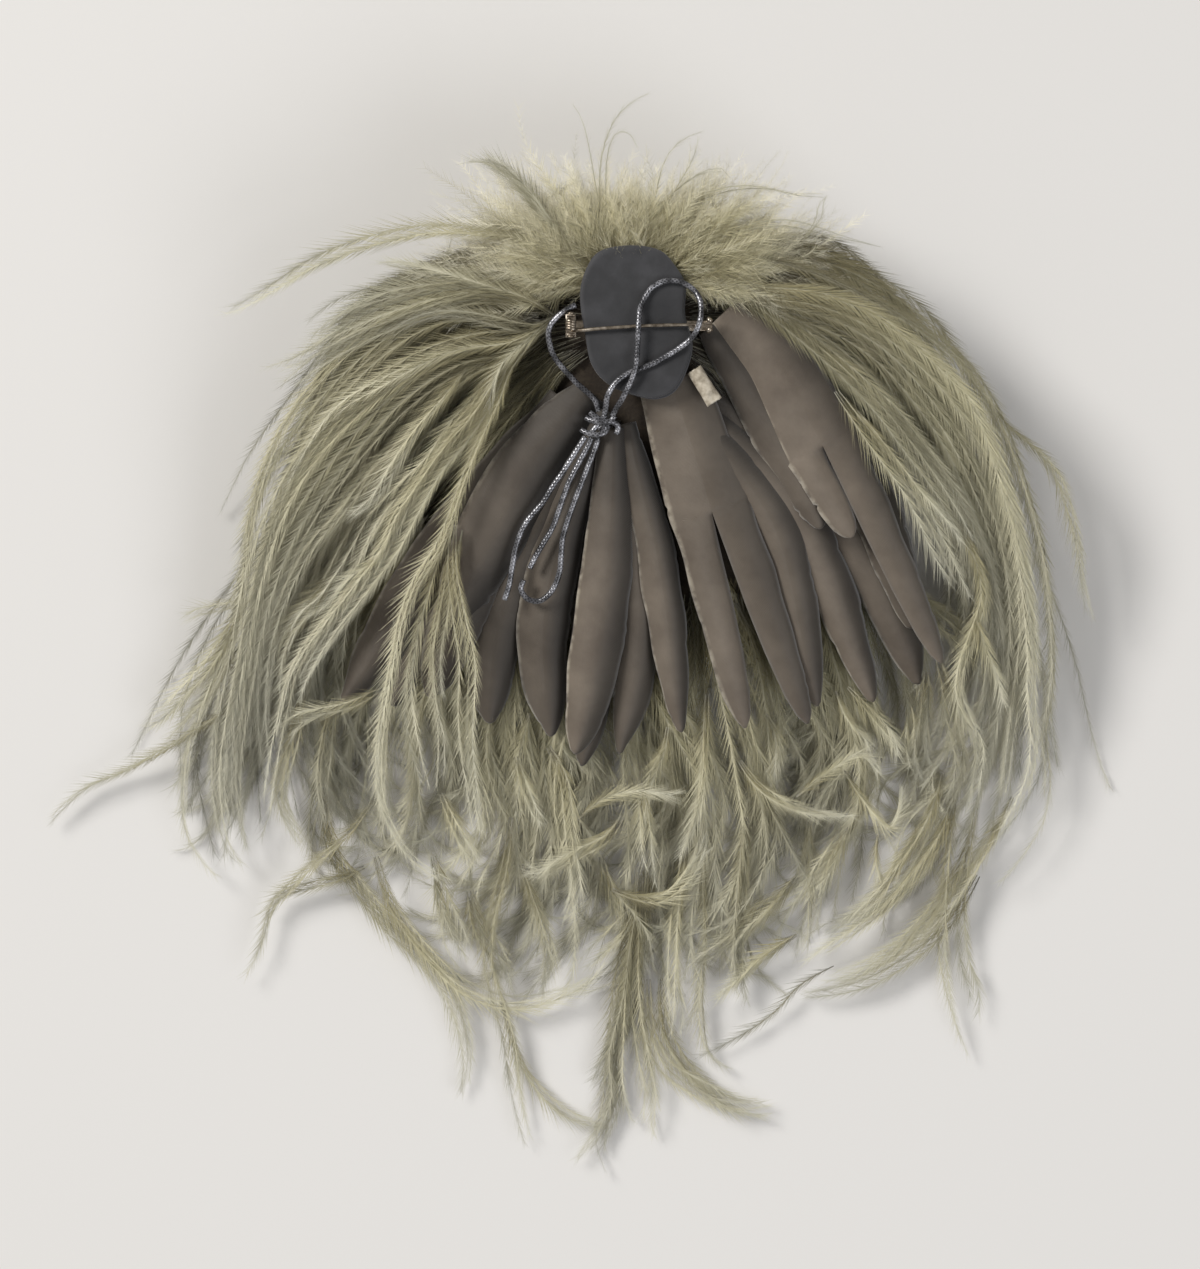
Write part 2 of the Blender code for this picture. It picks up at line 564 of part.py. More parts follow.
def leaf_height(x, y, layer):
    """Middle height of a leaf of one layer above a place in plan."""
    share = math.hypot(x, y) / FAN_REACH
    root = LEAF_SEAT + LEAF_THICKNESS / 2.0 + LEAF_PITCH * layer
    spread = LEAF_SPREAD * (layer - (LEAF_LAYERS - 1) / 2.0) * share ** 2
    return root - LEAF_DROP * share ** 1.5 + spread


def plan_vector(point):
    return Vector((point[0] * FAN_REACH, point[1] * FAN_REACH, 0.0))


def leaf_rows(path, widths, layer, columns):
    """Rows of points across a leaf, laid on its layer."""
    rows = []
    for index, (centre, width) in enumerate(zip(path, widths)):
        side, up = ring_frame(path, index)
        row = []
        for column in range(columns):
            across = side * (width * (column / (columns - 1) - 0.5))
            point = centre + across
            point.z = leaf_height(point.x, point.y, layer)
            row.append(point)
        rows.append(row)
    return rows


def add_rows(shape, rows, first_row=None):
    made = [first_row] if first_row else []
    for row in rows[len(made):]:
        made.append([shape.verts.new(point) for point in row])
    for lower, upper in zip(made, made[1:]):
        for index in range(len(lower) - 1):
            shape.faces.new((lower[index], lower[index + 1], upper[index + 1], upper[index]))
    return made


def leaf_object(name, shape, collection):
    leaf = mesh_object(name, shape, collection)
    wall = leaf.modifiers.new("wall", "SOLIDIFY")
    wall.thickness = LEAF_THICKNESS
    wall.offset = 0.0
    return finish_object(leaf, "leaf_feather")


def build_leaf(row, collection):
    name, layer, root, bend, tip, root_width, width = row
    sections = 9
    path = smooth_path([plan_vector(point) for point in (root, bend, tip)], sections)
    widths = []
    for index in range(sections):
        swell = read_profile(LEAF_PROFILE, index / (sections - 1))
        widths.append(FAN_REACH * max(root_width * (1.0 - index / (sections - 1)), width * swell))
    shape = bmesh.new()
    add_rows(shape, leaf_rows(path, widths, layer, 3))
    return leaf_object(name, shape, collection)


def build_split_leaf(row, collection):
    """Leaf whose vane is split into two fingers below a named place."""
    name, layer, root, bend, split, tip_a, tip_b, root_width, width = row
    trunk_path = smooth_path([plan_vector(point) for point in (root, bend, split)], 5)
    trunk_widths = [FAN_REACH * (root_width + (width - root_width) * math.sin(math.pi / 8.0 * index))
                    for index in range(5)]
    shape = bmesh.new()
    trunk = add_rows(shape, leaf_rows(trunk_path, trunk_widths, layer, 5))
    side, up = ring_frame(trunk_path, 4)
    along = (trunk_path[4] - trunk_path[3]).normalized()
    for tip, sign, columns in ((tip_a, 1.0, slice(2, 5)), (tip_b, -1.0, slice(0, 3))):
        start = trunk_path[4] + side * (sign * FAN_REACH * width / 4.0)
        target = plan_vector(tip)
        reach = (target - start).length
        bend_point = start.lerp(target, 0.5) + along * (reach * 0.04)
        path = smooth_path([start, bend_point, target], 6)
        widths = [FAN_REACH * width / 2.0 * share for share in (1.0, 0.92, 0.86, 0.72, 0.42, 0.06)]
        add_rows(shape, leaf_rows(path, widths, layer, 3), trunk[4][columns])
    return leaf_object(name, shape, collection)


def build_pad(collection):
    """Flat oval of suede with a softly uneven outline."""
    count = 44
    corners = [Vector((x * PAD_WIDTH / 2.0, y * PAD_LENGTH / 2.0, 0.0)) for x, y in PAD_OUTLINE]
    closed = [corners[-1]] + corners + corners[:2]
    outline = []
    for step in range(count):
        place = (1.0 + len(corners) * step / count) / (len(closed) - 1)
        outline.append(smooth_point(closed, place))
    curve = bpy.data.curves.new("back_pad", "CURVE")
    curve.dimensions = "2D"
    curve.fill_mode = "BOTH"
    curve.extrude = PAD_THICKNESS / 2.0
    spline = curve.splines.new("POLY")
    spline.points.add(count - 1)
    for point, place in zip(spline.points, outline):
        point.co = (place.x, place.y, 0.0, 1.0)
    spline.use_cyclic_u = True
    flat = bpy.data.objects.new("back_pad_outline", curve)
    collection.objects.link(flat)
    flat.location.z = PAD_BOTTOM + PAD_THICKNESS / 2.0
    return finish_object(evaluated_copy(flat, "back_pad", collection, weld_caps), "soft_suede")


def tube(name, points, diameter, collection):
    """Round wire or cord along a smooth route through points in metres."""
    length = sum((end - start).length for start, end in zip(points, points[1:]))
    count = max(int(length / (diameter * 2.2)) + 1, 4)
    curve = bpy.data.curves.new(name, "CURVE")
    curve.dimensions = "3D"
    curve.bevel_depth = diameter / 2.0
    curve.bevel_resolution = 2
    curve.use_fill_caps = True
    spline = curve.splines.new("POLY")
    spline.points.add(count - 1)
    for point, place in zip(spline.points, smooth_path(points, count)):
        point.co = (*place, 1.0)
    item = bpy.data.objects.new(name + "_route", curve)
    collection.objects.link(item)
    return evaluated_copy(item, name, collection, weld_caps)


def millimetres(points):
    return [Vector(point) / 1000.0 for point in points]


def cylinder_y(name, x, y, z, radius, length, collection, sides=16):
    """Cylinder whose axis runs along Y."""
    shape = bmesh.new()
    bmesh.ops.create_cone(shape, cap_ends=True, segments=sides, radius1=radius, radius2=radius,
                          depth=length)
    for vertex in shape.verts:
        vertex.co = Vector((x + vertex.co.x, y + vertex.co.z, z + vertex.co.y))
    return mesh_object(name, shape, collection)


def block(name, low, high, collection):
    shape = bmesh.new()
    bmesh.ops.create_cube(shape, size=1.0)
    for vertex in shape.verts:
        for axis in range(3):
            vertex.co[axis] = low[axis] if vertex.co[axis] < 0.0 else high[axis]
    return mesh_object(name, shape, collection)


def build_pin_bar(collection):
    """Bar with two ears and a rivet at the hinge, and an open fork for the wire."""
    bar = block("pin_bar_strip",
                (HINGE_X - EAR_RADIUS, HINGE_Y - PIN_BAR_WIDTH / 2.0, BAR_BOTTOM),
                (CATCH_X + CATCH_LENGTH / 2.0 + WELD_OVERLAP, HINGE_Y + PIN_BAR_WIDTH / 2.0,
                 BAR_TOP), collection)
    ear_offset = BARREL_LENGTH / 2.0 + CLEARANCE + EAR_THICKNESS / 2.0
    joint_width = 2.0 * ear_offset + EAR_THICKNESS
    extras = [block("joint_plate",
                    (HINGE_X - EAR_RADIUS, HINGE_Y - joint_width / 2.0, BAR_BOTTOM - WELD_OVERLAP),
                    (HINGE_X + EAR_RADIUS, HINGE_Y + joint_width / 2.0, BAR_TOP + WELD_OVERLAP),
                    collection)]
    for sign in (-1.0, 1.0):
        ear_y = HINGE_Y + sign * ear_offset
        extras.append(block("ear_web",
                            (HINGE_X - EAR_RADIUS * 0.9, ear_y - EAR_THICKNESS * 0.48,
                             BAR_BOTTOM + PIN_BAR_THICKNESS * 0.4),
                            (HINGE_X + EAR_RADIUS * 0.9, ear_y + EAR_THICKNESS * 0.48, HINGE_Z),
                            collection))
        extras.append(cylinder_y("ear_eye", HINGE_X, ear_y, HINGE_Z, EAR_RADIUS, EAR_THICKNESS,
                                 collection))
        extras.append(cylinder_y("rivet_head", HINGE_X, ear_y + sign * EAR_THICKNESS * 0.8, HINGE_Z,
                                 RIVET_RADIUS * 1.7, EAR_THICKNESS, collection, 10))
    extras.append(cylinder_y("rivet", HINGE_X, HINGE_Y, HINGE_Z, RIVET_RADIUS,
                             2.0 * ear_offset, collection, 12))
    for sign in (-1.0, 1.0):
        prong_y = HINGE_Y + sign * (CATCH_GAP + CATCH_PRONG) / 2.0
        extras.append(block("catch_prong",
                            (CATCH_X - CATCH_LENGTH / 2.0, prong_y - CATCH_PRONG / 2.0,
                             BAR_BOTTOM + PIN_BAR_THICKNESS * 0.4),
                            (CATCH_X + CATCH_LENGTH / 2.0, prong_y + CATCH_PRONG / 2.0,
                             HINGE_Z + PIN_WIRE * 0.3),
                            collection))
    foot_width = CATCH_GAP + 2.0 * CATCH_PRONG
    extras.append(block("catch_foot",
                        (CATCH_X - CATCH_LENGTH / 2.0 - WELD_OVERLAP, HINGE_Y - foot_width / 2.0,
                         BAR_BOTTOM - WELD_OVERLAP),
                        (CATCH_X + CATCH_LENGTH / 2.0 + 2.0 * WELD_OVERLAP,
                         HINGE_Y + foot_width / 2.0, BAR_TOP + WELD_OVERLAP),
                        collection))
    return finish_object(fuse("pin_bar", bar, extras, collection), "plated_wire")


def build_pin_arm(collection, cutters):
    """Wound barrel on the rivet with the pointed wire that springs from its near end."""
    barrel = cylinder_y("arm_barrel", HINGE_X, HINGE_Y, HINGE_Z, BARREL_RADIUS, BARREL_LENGTH,
                        collection)
    wire_y = HINGE_Y - BARREL_LENGTH / 2.0 + PIN_WIRE * 0.6
    wire = tube("arm_wire", [
        Vector((HINGE_X + BARREL_RADIUS * 0.75, wire_y, HINGE_Z)),
        Vector((HINGE_X + PIN_LENGTH * 0.32, wire_y + 0.0004, HINGE_Z)),
        Vector((HINGE_X + PIN_LENGTH * 0.66, HINGE_Y, HINGE_Z)),
        Vector((CATCH_X + WIRE_POINT, HINGE_Y, HINGE_Z)),
    ], PIN_WIRE, collection)
    arm = fuse("pin_arm_solid", barrel, [wire], collection)
    bore = cylinder_y("arm_bore", HINGE_X, HINGE_Y, HINGE_Z, RIVET_RADIUS + RIVET_PLAY,
                      BARREL_LENGTH * 2.0, cutters, 12)
    bore.hide_render = True
    bore.display_type = "WIRE"
    cut = arm.modifiers.new("bore", "BOOLEAN")
    cut.operation = "DIFFERENCE"
    cut.solver = "EXACT"
    cut.object = bore
    drilled = evaluated_copy(arm, "pin_arm", collection, keep_main_body)
    pivot = Vector((HINGE_X, HINGE_Y, HINGE_Z))
    for vertex in drilled.data.vertices:
        vertex.co -= pivot
    drilled.location = pivot
    return finish_object(drilled, "plated_wire")


def build_quill_stub(collection):
    """Short hollow quill end, open at one end and pinched at the other."""
    sides = 12
    turn = math.radians(STUB_TURN)
    along = Vector((math.cos(turn), math.sin(turn), 0.0))
    side = Vector((-math.sin(turn), math.cos(turn), 0.0))
    upper_end = Vector((STUB_X, STUB_Y, 0.0)) - along * (STUB_LENGTH / 2.0)
    leaf_top = leaf_height(upper_end.x, upper_end.y, LEAF_LAYERS - 1) + LEAF_THICKNESS / 2.0
    seat = leaf_top + CLEARANCE
    centre_height = seat + STUB_HEIGHT / 2.0
    shape = bmesh.new()
    rows = []
    for place, wide, high in ((-0.5, 0.92, 1.0), (-0.2, 0.96, 1.0), (0.2, 0.98, 0.92), (0.5, 1.0, 0.62)):
        row = []
        for corner in range(sides):
            angle = 2.0 * math.pi * corner / sides
            across = side * (math.cos(angle) * (STUB_WIDTH - STUB_WALL) / 2.0 * wide)
            point = Vector((STUB_X, STUB_Y, centre_height)) + along * (STUB_LENGTH * place) + across
            point.z += math.sin(angle) * (STUB_HEIGHT - STUB_WALL) / 2.0 * high
            row.append(shape.verts.new(point))
        rows.append(row)
    for lower, upper in zip(rows, rows[1:]):
        for index in range(sides):
            following = (index + 1) % sides
            shape.faces.new((lower[index], lower[following], upper[following], upper[index]))
    stub = mesh_object("quill_stub", shape, collection)
    wall = stub.modifiers.new("wall", "SOLIDIFY")
    wall.thickness = STUB_WALL
    wall.offset = 0.0
    return finish_object(stub, "quill")


def build_cords(collection):
    routes = (
        ("cord_strand", CORD_STRAND),
        ("cord_loop", CORD_LOOP),
        ("cord_tail_left", CORD_TAIL_LEFT),
        ("cord_tail_middle", CORD_TAIL_MIDDLE),
        ("cord_tail_right", CORD_TAIL_RIGHT),
    )
    for name, points in routes:
        finish_object(tube(name, millimetres(points), CORD_DIAMETER, collection), "elastic_cord")
    wraps = [tube("knot_wrap", millimetres(points), CORD_DIAMETER, collection)
             for points in KNOT_WRAPS]
    finish_object(fuse("cord_knot", wraps[0], wraps[1:], collection), "elastic_cord")


def build():
    clear_scene()
    collection = add_collection("feather_hairpiece")
    cutters = add_collection("cutters", guide=True)
    build_front_plume(collection)
    build_side_plume("plume_left", LEFT_HEAD, LEFT_GUIDES, LEFT_BETWEEN_COUNT, [], collection)
    build_side_plume("plume_right", RIGHT_HEAD, RIGHT_GUIDES, RIGHT_BETWEEN_COUNT, [RIGHT_STRAY],
                     collection)
    build_crown_tuft(collection)
    for row in LEAVES:
        build_leaf(row, collection)
    for row in SPLIT_LEAVES:
        build_split_leaf(row, collection)
    build_pad(collection)
    build_pin_bar(collection)
    build_pin_arm(collection, cutters)
    build_quill_stub(collection)
    build_cords(collection)


build()
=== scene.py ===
import math

import bmesh
import bpy
import numpy as np
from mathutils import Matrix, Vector, noise


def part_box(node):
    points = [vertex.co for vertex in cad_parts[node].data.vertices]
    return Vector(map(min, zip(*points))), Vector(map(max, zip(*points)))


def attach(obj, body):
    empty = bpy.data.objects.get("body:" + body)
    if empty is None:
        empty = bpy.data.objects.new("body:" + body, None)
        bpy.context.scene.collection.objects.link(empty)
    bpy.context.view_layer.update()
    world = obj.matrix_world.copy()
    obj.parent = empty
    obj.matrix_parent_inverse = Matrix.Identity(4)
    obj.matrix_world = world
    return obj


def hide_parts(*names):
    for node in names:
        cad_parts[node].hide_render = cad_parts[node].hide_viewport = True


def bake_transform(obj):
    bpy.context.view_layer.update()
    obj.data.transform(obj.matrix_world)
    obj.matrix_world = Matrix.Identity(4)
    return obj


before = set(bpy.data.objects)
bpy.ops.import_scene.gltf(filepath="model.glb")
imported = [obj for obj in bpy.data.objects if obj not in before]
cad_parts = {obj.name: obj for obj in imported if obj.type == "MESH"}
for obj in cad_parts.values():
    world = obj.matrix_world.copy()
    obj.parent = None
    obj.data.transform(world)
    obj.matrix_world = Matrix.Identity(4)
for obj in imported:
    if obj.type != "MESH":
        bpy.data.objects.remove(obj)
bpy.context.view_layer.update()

mm = 0.001

# Sizes shared with the frame
headTop = 0.033
span = 0.100
leafSeat = 0.0333
leafPitch = 0.0013
leafDrop = 0.0165
leafSpread = 0.0010
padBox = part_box("back_pad")
tableGap = 0.0005


# Small helpers

# sRGB hex to linear
def hexColour(text):
    channels = [int(text[place:place + 2], 16) / 255.0 for place in (1, 3, 5)]
    linear = [c / 12.92 if c <= 0.04045 else ((c + 0.055) / 1.055) ** 2.4 for c in channels]
    return (*linear, 1.0)


# One node with its settings (sockets or properties) and the links into it
def addNode(tree, kind, settings=None, links=None):
    node = tree.nodes.new(kind)
    for key, value in (settings or {}).items():
        if isinstance(key, int) or key in node.inputs:
            node.inputs[key].default_value = value
        else:
            setattr(node, key, value)
    for socket, source in (links or {}).items():
        tree.links.new(source, node.inputs[socket])
    return node


def newMaterial(name):
    material = bpy.data.materials.new(name)
    material.use_nodes = True
    return material, material.node_tree, material.node_tree.nodes["Principled BSDF"]


def setRamp(node, stops):
    ramp = node.color_ramp
    while len(ramp.elements) > 1:
        ramp.elements.remove(ramp.elements[-1])
    ramp.elements[0].position = stops[0][0]
    ramp.elements[0].color = hexColour(stops[0][1])
    for place, colour in stops[1:]:
        element = ramp.elements.new(place)
        element.color = hexColour(colour)
    return node


def meshPiece(name, vertices, faces, material, smooth=True):
    mesh = bpy.data.meshes.new(name)
    mesh.from_pydata([tuple(v) for v in vertices], [], faces)
    mesh.update()
    mesh.materials.append(material)
    piece = bpy.data.objects.new(name, mesh)
    bpy.context.scene.collection.objects.link(piece)
    if smooth:
        mesh.shade_smooth()
    return piece


def shapePiece(name, shape, material):
    mesh = bpy.data.meshes.new(name)
    shape.to_mesh(mesh)
    shape.free()
    mesh.materials.append(material)
    mesh.shade_smooth()
    piece = bpy.data.objects.new(name, mesh)
    bpy.context.scene.collection.objects.link(piece)
    return piece


def faceOutwards(piece):
    shape = bmesh.new()
    shape.from_mesh(piece.data)
    bmesh.ops.recalc_face_normals(shape, faces=shape.faces)
    shape.to_mesh(piece.data)
    shape.free()


# Quads between closed rings of vertices
def ringFaces(rows, sides):
    faces = []
    for row in range(rows - 1):
        for corner in range(sides):
            following = (corner + 1) % sides
            faces.append((row * sides + corner, row * sides + following,
                          (row + 1) * sides + following, (row + 1) * sides + corner))
    return faces


def setAttribute(mesh, name, values):
    attribute = mesh.attributes.new(name, "FLOAT", "POINT")
    attribute.data.foreach_set("value", np.asarray(values, dtype=np.float32))


# Replace a piece's mesh by what its modifiers make, and drop the modifiers
def bakedMesh(piece):
    bpy.context.view_layer.update()
    graph = bpy.context.evaluated_depsgraph_get()
    mesh = bpy.data.meshes.new_from_object(piece.evaluated_get(graph))
    piece.modifiers.clear()
    piece.data = mesh
    return piece


# Catmull-Rom curve through points, as a numpy array of count rows
def smoothPath(points, count):
    points = np.asarray(points, dtype=float)
    spans = len(points) - 1
    places = np.linspace(0.0, spans, count)
    index = np.minimum(places.astype(int), spans - 1)
    t = (places - index)[:, None]
    p0 = points[np.maximum(index - 1, 0)]
    p1 = points[index]
    p2 = points[index + 1]
    p3 = points[np.minimum(index + 2, spans)]
    return 0.5 * (2.0 * p1 + (p2 - p0) * t + (2.0 * p0 - 5.0 * p1 + 4.0 * p2 - p3) * t ** 2
                  + (3.0 * p1 - p0 - 3.0 * p2 + p3) * t ** 3)


# Middle height of a leaf layer, as in the frame
def leafHeight(x, y, layer):
    share = np.hypot(x, y) / span
    root = leafSeat + 0.5 * mm + leafPitch * layer
    return root - leafDrop * share ** 1.5 + leafSpread * (layer - 1.5) * share ** 2


def smoothStep(low, high, value):
    share = np.clip((value - low) / (high - low), 0.0, 1.0)
    return share * share * (3.0 - 2.0 * share)


# Place on the piece, in plan, of a pixel of the photograph
def fromPixels(u, v):
    return ((u - viewSettings["padPixel"][0]) * viewSettings["pixelSize"],
            (viewSettings["padPixel"][1] - v) * viewSettings["pixelSize"])


# Camera, floor and light

print("stage: camera, floor, light")
viewSettings = {
    "imageWidth": 1200,            # pixels of the photograph
    "imageHeight": 1269,
    "pixelSize": 0.23 * mm,        # real size of one photo pixel on the piece
    "padPixel": (635, 324),        # pad centre in the photo, the frame's origin
    "sightDistance": 1.35,
    "planeHeight": 0.030,
}


def buildCamera(v):
    middleX = (v["imageWidth"] / 2 - v["padPixel"][0]) * v["pixelSize"]
    middleY = (v["padPixel"][1] - v["imageHeight"] / 2) * v["pixelSize"]
    camera = bpy.data.cameras.new("camera")
    camera.sensor_fit = "HORIZONTAL"
    camera.sensor_width = 36.0
    camera.lens = 36.0 * v["sightDistance"] / (v["imageWidth"] * v["pixelSize"])
    camera.clip_start = 0.05
    camera.clip_end = 20.0
    holder = bpy.data.objects.new("camera", camera)
    holder.location = (middleX, middleY, v["planeHeight"] + v["sightDistance"])
    bpy.context.scene.collection.objects.link(holder)
    bpy.context.scene.camera = holder


def buildLight(name, place, target, size, power, colour):
    lamp = bpy.data.lights.new(name, "AREA")
    lamp.shape = "DISK"
    lamp.size = size
    lamp.energy = power
    lamp.color = hexColour(colour)[:3]
    holder = bpy.data.objects.new(name, lamp)
    holder.location = place
    holder.rotation_euler = (Vector(target) - Vector(place)).to_track_quat("-Z", "Y").to_euler()
    bpy.context.scene.collection.objects.link(holder)


def buildFloor():
    material, tree, shader = newMaterial("seamlessPaper")   # matt studio paper, pale warm grey
    shader.inputs["Base Color"].default_value = hexColour("#e2e0dd")
    shader.inputs["Roughness"].default_value = 0.9
    shader.inputs["Specular IOR Level"].default_value = 0.2
    half = 4.0
    corners = [(-half, -half, 0.0), (half, -half, 0.0), (half, half, 0.0), (-half, half, 0.0)]
    floor = meshPiece("floor", corners, [(0, 1, 2, 3)], material, smooth=False)


buildCamera(viewSettings)
buildLight("keyLight", (-1.55, 0.95, 1.65), (0.0, -0.06, 0.0), 0.95, 50.0, "#fffdfa")
buildLight("fillLight", (0.9, -0.8, 1.1), (0.0, -0.10, 0.0), 1.0, 8.5, "#f8faff")
buildFloor()
world = bpy.data.worlds.new("studio")
world.use_nodes = True
world.node_tree.nodes["Background"].inputs["Color"].default_value = hexColour("#e9e8e6")
world.node_tree.nodes["Background"].inputs["Strength"].default_value = 0.36
bpy.context.scene.world = world
bpy.context.scene.view_settings.view_transform = "Standard"


# Finishes

# Dyed ostrich or marabou: matt keratin fibres, paler towards the tips, with a pale midline
def feathery(name, rootColour, middleColour, tipColour, shaftColour, roughness):
    material, tree, shader = newMaterial(name)
    along = addNode(tree, "ShaderNodeAttribute", {"attribute_name": "along"})
    tone = addNode(tree, "ShaderNodeAttribute", {"attribute_name": "tone"})
    out = addNode(tree, "ShaderNodeAttribute", {"attribute_name": "out"})
    length = addNode(tree, "ShaderNodeValToRGB", None, {"Fac": along.outputs["Fac"]})
    # the near-black start of the ramp, over the first tenth of each flue, is painted shade where the roots
    # sink into the down
    setRamp(length, [(0.0, "#3a3324"), (0.10, rootColour), (0.40, middleColour), (1.0, tipColour)])
    midline = addNode(tree, "ShaderNodeMapRange", {"From Min": 0.0, "From Max": 0.22, "To Min": 0.3,
                                                  "To Max": 0.0}, {"Value": out.outputs["Fac"]})
    paler = addNode(tree, "ShaderNodeMix", {"data_type": "RGBA"},
                    {0: midline.outputs["Result"], 6: length.outputs["Color"]})
    paler.inputs[7].default_value = hexColour(shaftColour)
    # tone scales the colour's value: where it follows depth or a frond's brightness it is painted shade and
    # painted highlight, elsewhere it varies at random
    level = addNode(tree, "ShaderNodeMapRange", {"To Min": 0.30, "To Max": 1.12},
                    {"Value": tone.outputs["Fac"]})
    shaded = addNode(tree, "ShaderNodeHueSaturation", None,
                     {"Color": paler.outputs[2], "Value": level.outputs["Result"]})
    tree.links.new(shaded.outputs["Color"], shader.inputs["Base Color"])
    shader.inputs["Roughness"].default_value = roughness
    shader.inputs["Specular IOR Level"].default_value = 0.35
    shader.inputs["Sheen Weight"].default_value = 0.25
    shader.inputs["Sheen Roughness"].default_value = 0.5
    return material


ostrichFibre = feathery("dyedOstrichFibre", "#8f8764", "#bcb696", "#cfccb8", "#dedbc8", 0.62)
marabouFibre = feathery("dyedMarabouDown", "#81774f", "#d3cca8", "#efead6", "#e3ddc4", 0.75)


# Packed down between the fronds, coloured near-black brown as painted shade for the depth between them:
# matt, mottled
def downFinish():
    material, tree, shader = newMaterial("paintedShadeDown")
    place = addNode(tree, "ShaderNodeTexCoord")
    clumps = addNode(tree, "ShaderNodeTexNoise", {"Scale": 220.0, "Detail": 6.0, "Roughness": 0.7},
                     {"Vector": place.outputs["Object"]})
    colours = addNode(tree, "ShaderNodeValToRGB", None, {"Fac": clumps.outputs["Fac"]})
    setRamp(colours, [(0.3, "#231c15"), (0.55, "#382f25"), (0.8, "#574d3d")])
    relief = addNode(tree, "ShaderNodeBump", {"Strength": 0.8, "Distance": 0.8 * mm},
                     {"Height": clumps.outputs["Fac"]})
    tree.links.new(colours.outputs["Color"], shader.inputs["Base Color"])
    tree.links.new(relief.outputs["Normal"], shader.inputs["Normal"])
    shader.inputs["Roughness"].default_value = 0.9
    return material


# Trimmed feather vane: satin taupe with fine slanting barbs, a pale line painted along its left cut edge as
# a highlight, and painted shade from the shade attribute
def vaneFinish(name, darkColour, midColour, lightColour, edgeHighlightColour):
    material, tree, shader = newMaterial(name)
    across = addNode(tree, "ShaderNodeAttribute", {"attribute_name": "across"})
    acrossMm = addNode(tree, "ShaderNodeAttribute", {"attribute_name": "acrossMm"})
    alongMm = addNode(tree, "ShaderNodeAttribute", {"attribute_name": "alongMm"})
    place = addNode(tree, "ShaderNodeTexCoord")
    side = addNode(tree, "ShaderNodeMath", {"operation": "ABSOLUTE"}, {0: acrossMm.outputs["Fac"]})
    slant = addNode(tree, "ShaderNodeMath", {"operation": "MULTIPLY", 1: 1.35},
                    {0: side.outputs["Value"]})
    barbPlace = addNode(tree, "ShaderNodeMath", {"operation": "SUBTRACT"},
                        {0: alongMm.outputs["Fac"], 1: slant.outputs["Value"]})
    shade = addNode(tree, "ShaderNodeAttribute", {"attribute_name": "shade"})
    wobble = addNode(tree, "ShaderNodeTexNoise", {"Scale": 160.0, "Detail": 3.0},
                     {"Vector": place.outputs["Object"]})
    bent = addNode(tree, "ShaderNodeMath", {"operation": "MULTIPLY_ADD", 1: 1.6},
                   {0: wobble.outputs["Fac"], 2: barbPlace.outputs["Value"]})
    # a barb every 0.45 mm, drawn as coarse as the render can show
    turns = addNode(tree, "ShaderNodeMath", {"operation": "MULTIPLY", 1: 2.0 * math.pi / 0.45},
                    {0: bent.outputs["Value"]})
    barbs = addNode(tree, "ShaderNodeMath", {"operation": "SINE"}, {0: turns.outputs["Value"]})
    mottle = addNode(tree, "ShaderNodeTexNoise", {"Scale": 75.0, "Detail": 5.0, "Roughness": 0.6},
                     {"Vector": place.outputs["Object"]})
    colours = addNode(tree, "ShaderNodeValToRGB", None, {"Fac": mottle.outputs["Fac"]})
    setRamp(colours, [(0.30, darkColour), (0.52, midColour), (0.78, lightColour)])
    fine = addNode(tree, "ShaderNodeMapRange", {"From Min": -1.0, "From Max": 1.0, "To Min": 0.93,
                                               "To Max": 1.06}, {"Value": barbs.outputs["Value"]})
    barbed = addNode(tree, "ShaderNodeHueSaturation", None,
                     {"Color": colours.outputs["Color"], "Value": fine.outputs["Result"]})
    # painted highlight: a pale line along the left edge only, where the light falls, broken up by noise
    edge = addNode(tree, "ShaderNodeMapRange", {"From Min": 0.86, "From Max": 0.97, "To Max": 0.9},
                   {"Value": across.outputs["Fac"]})
    highlightBreakup = addNode(tree, "ShaderNodeTexNoise", {"Scale": 420.0, "Detail": 3.0},
                   {"Vector": place.outputs["Object"]})
    edgeHighlightBreakup = addNode(tree, "ShaderNodeMapRange", {"From Min": 0.38, "From Max": 0.62},
                       {"Value": highlightBreakup.outputs["Fac"]})
    edgeHighlightMask = addNode(tree, "ShaderNodeMath", {"operation": "MULTIPLY"},
                      {0: edge.outputs["Result"], 1: edgeHighlightBreakup.outputs["Result"]})
    edgeHighlighted = addNode(tree, "ShaderNodeMix", {"data_type": "RGBA"},
                      {0: edgeHighlightMask.outputs["Value"], 6: barbed.outputs["Color"]})
    edgeHighlighted.inputs[7].default_value = hexColour(edgeHighlightColour)
    relief = addNode(tree, "ShaderNodeBump", {"Strength": 0.25, "Distance": 0.12 * mm},
                     {"Height": barbs.outputs["Value"]})
    waves = addNode(tree, "ShaderNodeBump", {"Strength": 0.5, "Distance": 0.6 * mm},
                    {"Height": mottle.outputs["Fac"], "Normal": relief.outputs["Normal"]})
    # painted shade from the leaf's shade attribute: darker at the root and on the right side
    paintedShading = addNode(tree, "ShaderNodeHueSaturation", None,
                   {"Color": edgeHighlighted.outputs[2], "Value": shade.outputs["Fac"]})
    tree.links.new(paintedShading.outputs["Color"], shader.inputs["Base Color"])
    tree.links.new(waves.outputs["Normal"], shader.inputs["Normal"])
    shader.inputs["Roughness"].default_value = 0.55
    shader.inputs["Specular IOR Level"].default_value = 0.4
    shader.inputs["Sheen Weight"].default_value = 0.3
    return material


taupeVane = vaneFinish("taupeVane", "#64594d", "#756a5d", "#85796b", "#c2b8a6")
